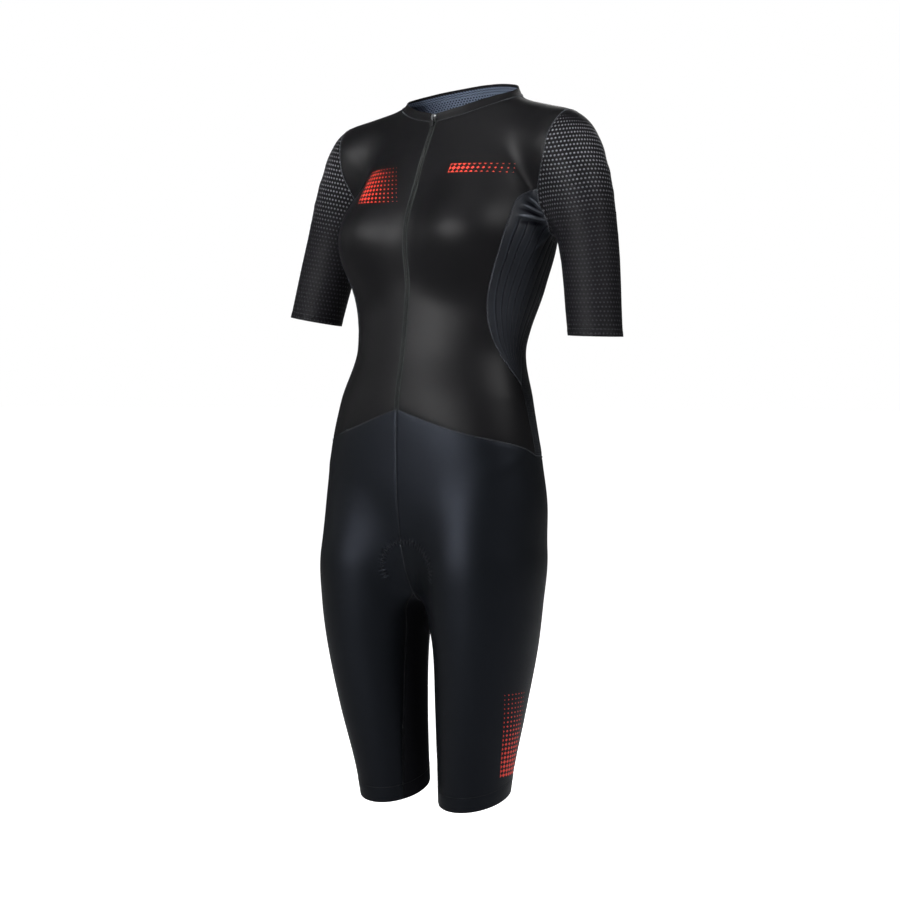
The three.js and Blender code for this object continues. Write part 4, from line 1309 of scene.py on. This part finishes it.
def pad_object():
    """The foam pad: full in the middle, thin at its edge, with two sewn channels."""
    grid = pad_net()
    normals = facing(grid)
    u = np.linspace(-1, 1, grid.shape[1])[None]
    v = np.linspace(0, 1, grid.shape[0])[:, None]
    edge = np.minimum(1 - np.abs(u), 2 * np.minimum(v, 1 - v))
    full = np.clip(edge / 0.22, 0, 1) ** 0.5
    channel = np.exp(-(((np.abs(u) - 0.45) / 0.05) ** 2)) * np.clip((0.9 - v) / 0.1, 0, 1)
    depth = 0.8 + (PAD_THICKNESS - 0.8) * full * (1 - 0.55 * channel)
    outer = grid - normals * (PAD_DEPTH + (1 - full)[..., None] * 0.2)
    inner = grid - normals * (PAD_DEPTH + depth[..., None])
    rows, columns = grid.shape[:2]
    size = rows * columns
    faces = grid_faces(rows, columns)
    index = np.arange(size).reshape(rows, columns)
    rim_line = np.concatenate([index[0], index[1:, -1], index[-1, -2::-1], index[-2:0:-1, 0]])
    after = np.roll(rim_line, -1)
    rim = np.column_stack([after, rim_line, rim_line + size, after + size])
    every = np.concatenate([faces, faces[:, ::-1] + size, rim])
    uv = np.tile(cloth_map(grid, columns // 2).reshape(-1, 2), (2, 1))
    points = np.concatenate([outer.reshape(-1, 3), inner.reshape(-1, 3)])
    made = mesh_object("seat_pad_foam", points, every, uv, looks=[LOOKS["pad"]])
    made.data.flip_normals()
    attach(made, SUIT_BODY)
    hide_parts("seat_pad")
    return made


pad_object()

# Stage, light and camera

AZIMUTH = np.radians(33)
DISTANCE = 2.64
EYE_LEVEL = -0.375
LENS = 78.3
SENSOR = 36
PHOTO_SIZE = 900
HORIZON_ROW = 393
MIDDLE_COLUMN = 452.5
FLOOR_LEVEL = -1.0
AMBIENT = 0.09
FLOOR_GLOW = 1.0


def floor():
    half = 60000
    points = np.array([[-half, -half, 0], [half, -half, 0], [half, half, 0], [-half, half, 0]], float)
    points[:, 2] = FLOOR_LEVEL / METRE
    made = mesh_object("floor", points, [[0, 1, 2, 3]], np.zeros((4, 2)))
    paint = bpy.data.materials.new("pale floor")
    paint.use_nodes = True
    shade = paint.node_tree.nodes["Principled BSDF"].inputs
    shade["Base Color"].default_value = (0.86, 0.86, 0.87, 1)
    shade["Roughness"].default_value = 0.8
    shade["Emission Color"].default_value = (1, 1, 1, 1)
    seen = place(paint.node_tree, "LightPath")["Is Camera Ray"]
    paint.node_tree.links.new(maths(paint.node_tree, "MULTIPLY", seen, FLOOR_GLOW), shade["Emission Strength"])
    made.data.materials.append(paint)


def soft_light(name, azimuth, elevation, distance, size, power, aim=-0.45, spread=180):
    """An area light that faces the suit at one height, with its beam kept to a spread in degrees."""
    data = bpy.data.lights.new(name, "AREA")
    data.shape = "RECTANGLE"
    data.size, data.size_y = size
    data.energy = power
    data.spread = np.radians(spread)
    lamp = bpy.data.objects.new(name, data)
    turn, lift = np.radians(azimuth), np.radians(elevation)
    way = Vector((np.sin(turn) * np.cos(lift), -np.cos(turn) * np.cos(lift), np.sin(lift)))
    lamp.location = way * distance + Vector((0, 0, aim))
    lamp.rotation_euler = way.to_track_quat("Z", "Y").to_euler()
    bpy.context.scene.collection.objects.link(lamp)


def camera():
    data = bpy.data.cameras.new("camera")
    data.lens = LENS
    data.sensor_width = SENSOR
    data.shift_x = (PHOTO_SIZE / 2 - MIDDLE_COLUMN) / PHOTO_SIZE
    data.shift_y = (HORIZON_ROW - PHOTO_SIZE / 2) / PHOTO_SIZE
    eye = bpy.data.objects.new("camera", data)
    eye.location = (DISTANCE * np.sin(AZIMUTH), -DISTANCE * np.cos(AZIMUTH), EYE_LEVEL)
    eye.rotation_euler = (np.radians(90), 0, AZIMUTH)
    bpy.context.scene.collection.objects.link(eye)
    bpy.context.scene.camera = eye


def surroundings():
    """A white backdrop that lights the suit only a little."""
    world = bpy.data.worlds.new("studio")
    world.use_nodes = True
    shade = world.node_tree.nodes["Background"]
    shade.inputs["Color"].default_value = (1, 1, 1, 1)
    seen = place(world.node_tree, "LightPath")["Is Camera Ray"]
    world.node_tree.links.new(ramp(world.node_tree, seen, 0.0, 1.0, AMBIENT, 1.0), shade.inputs["Strength"])
    bpy.context.scene.world = world
    bpy.context.scene.view_settings.view_transform = "Standard"


floor()
soft_light("chest key, right", -20, 20, 3.0, (0.8, 0.5), 1.0, aim=-0.11, spread=10)
soft_light("chest key, left", 4, 17, 3.0, (0.8, 0.5), 1.3, aim=-0.11, spread=10)
soft_light("thigh key", -10, 13, 3.0, (1.2, 0.6), 1.95, aim=-0.6, spread=10)
soft_light("front fill", -10, 32, 3.0, (1.6, 1.2), 2.5)
soft_light("left fill", -70, 16, 3.0, (1.1, 1.1), 7)
soft_light("back fill", 200, 30, 3.0, (1.6, 1.2), 14)
soft_light("right rim", 90, 40, 3.0, (0.8, 0.8), 60)
soft_light("top", 20, 75, 2.6, (1.6, 1.6), 14)
camera()
surroundings()

bpy.context.view_layer.update()
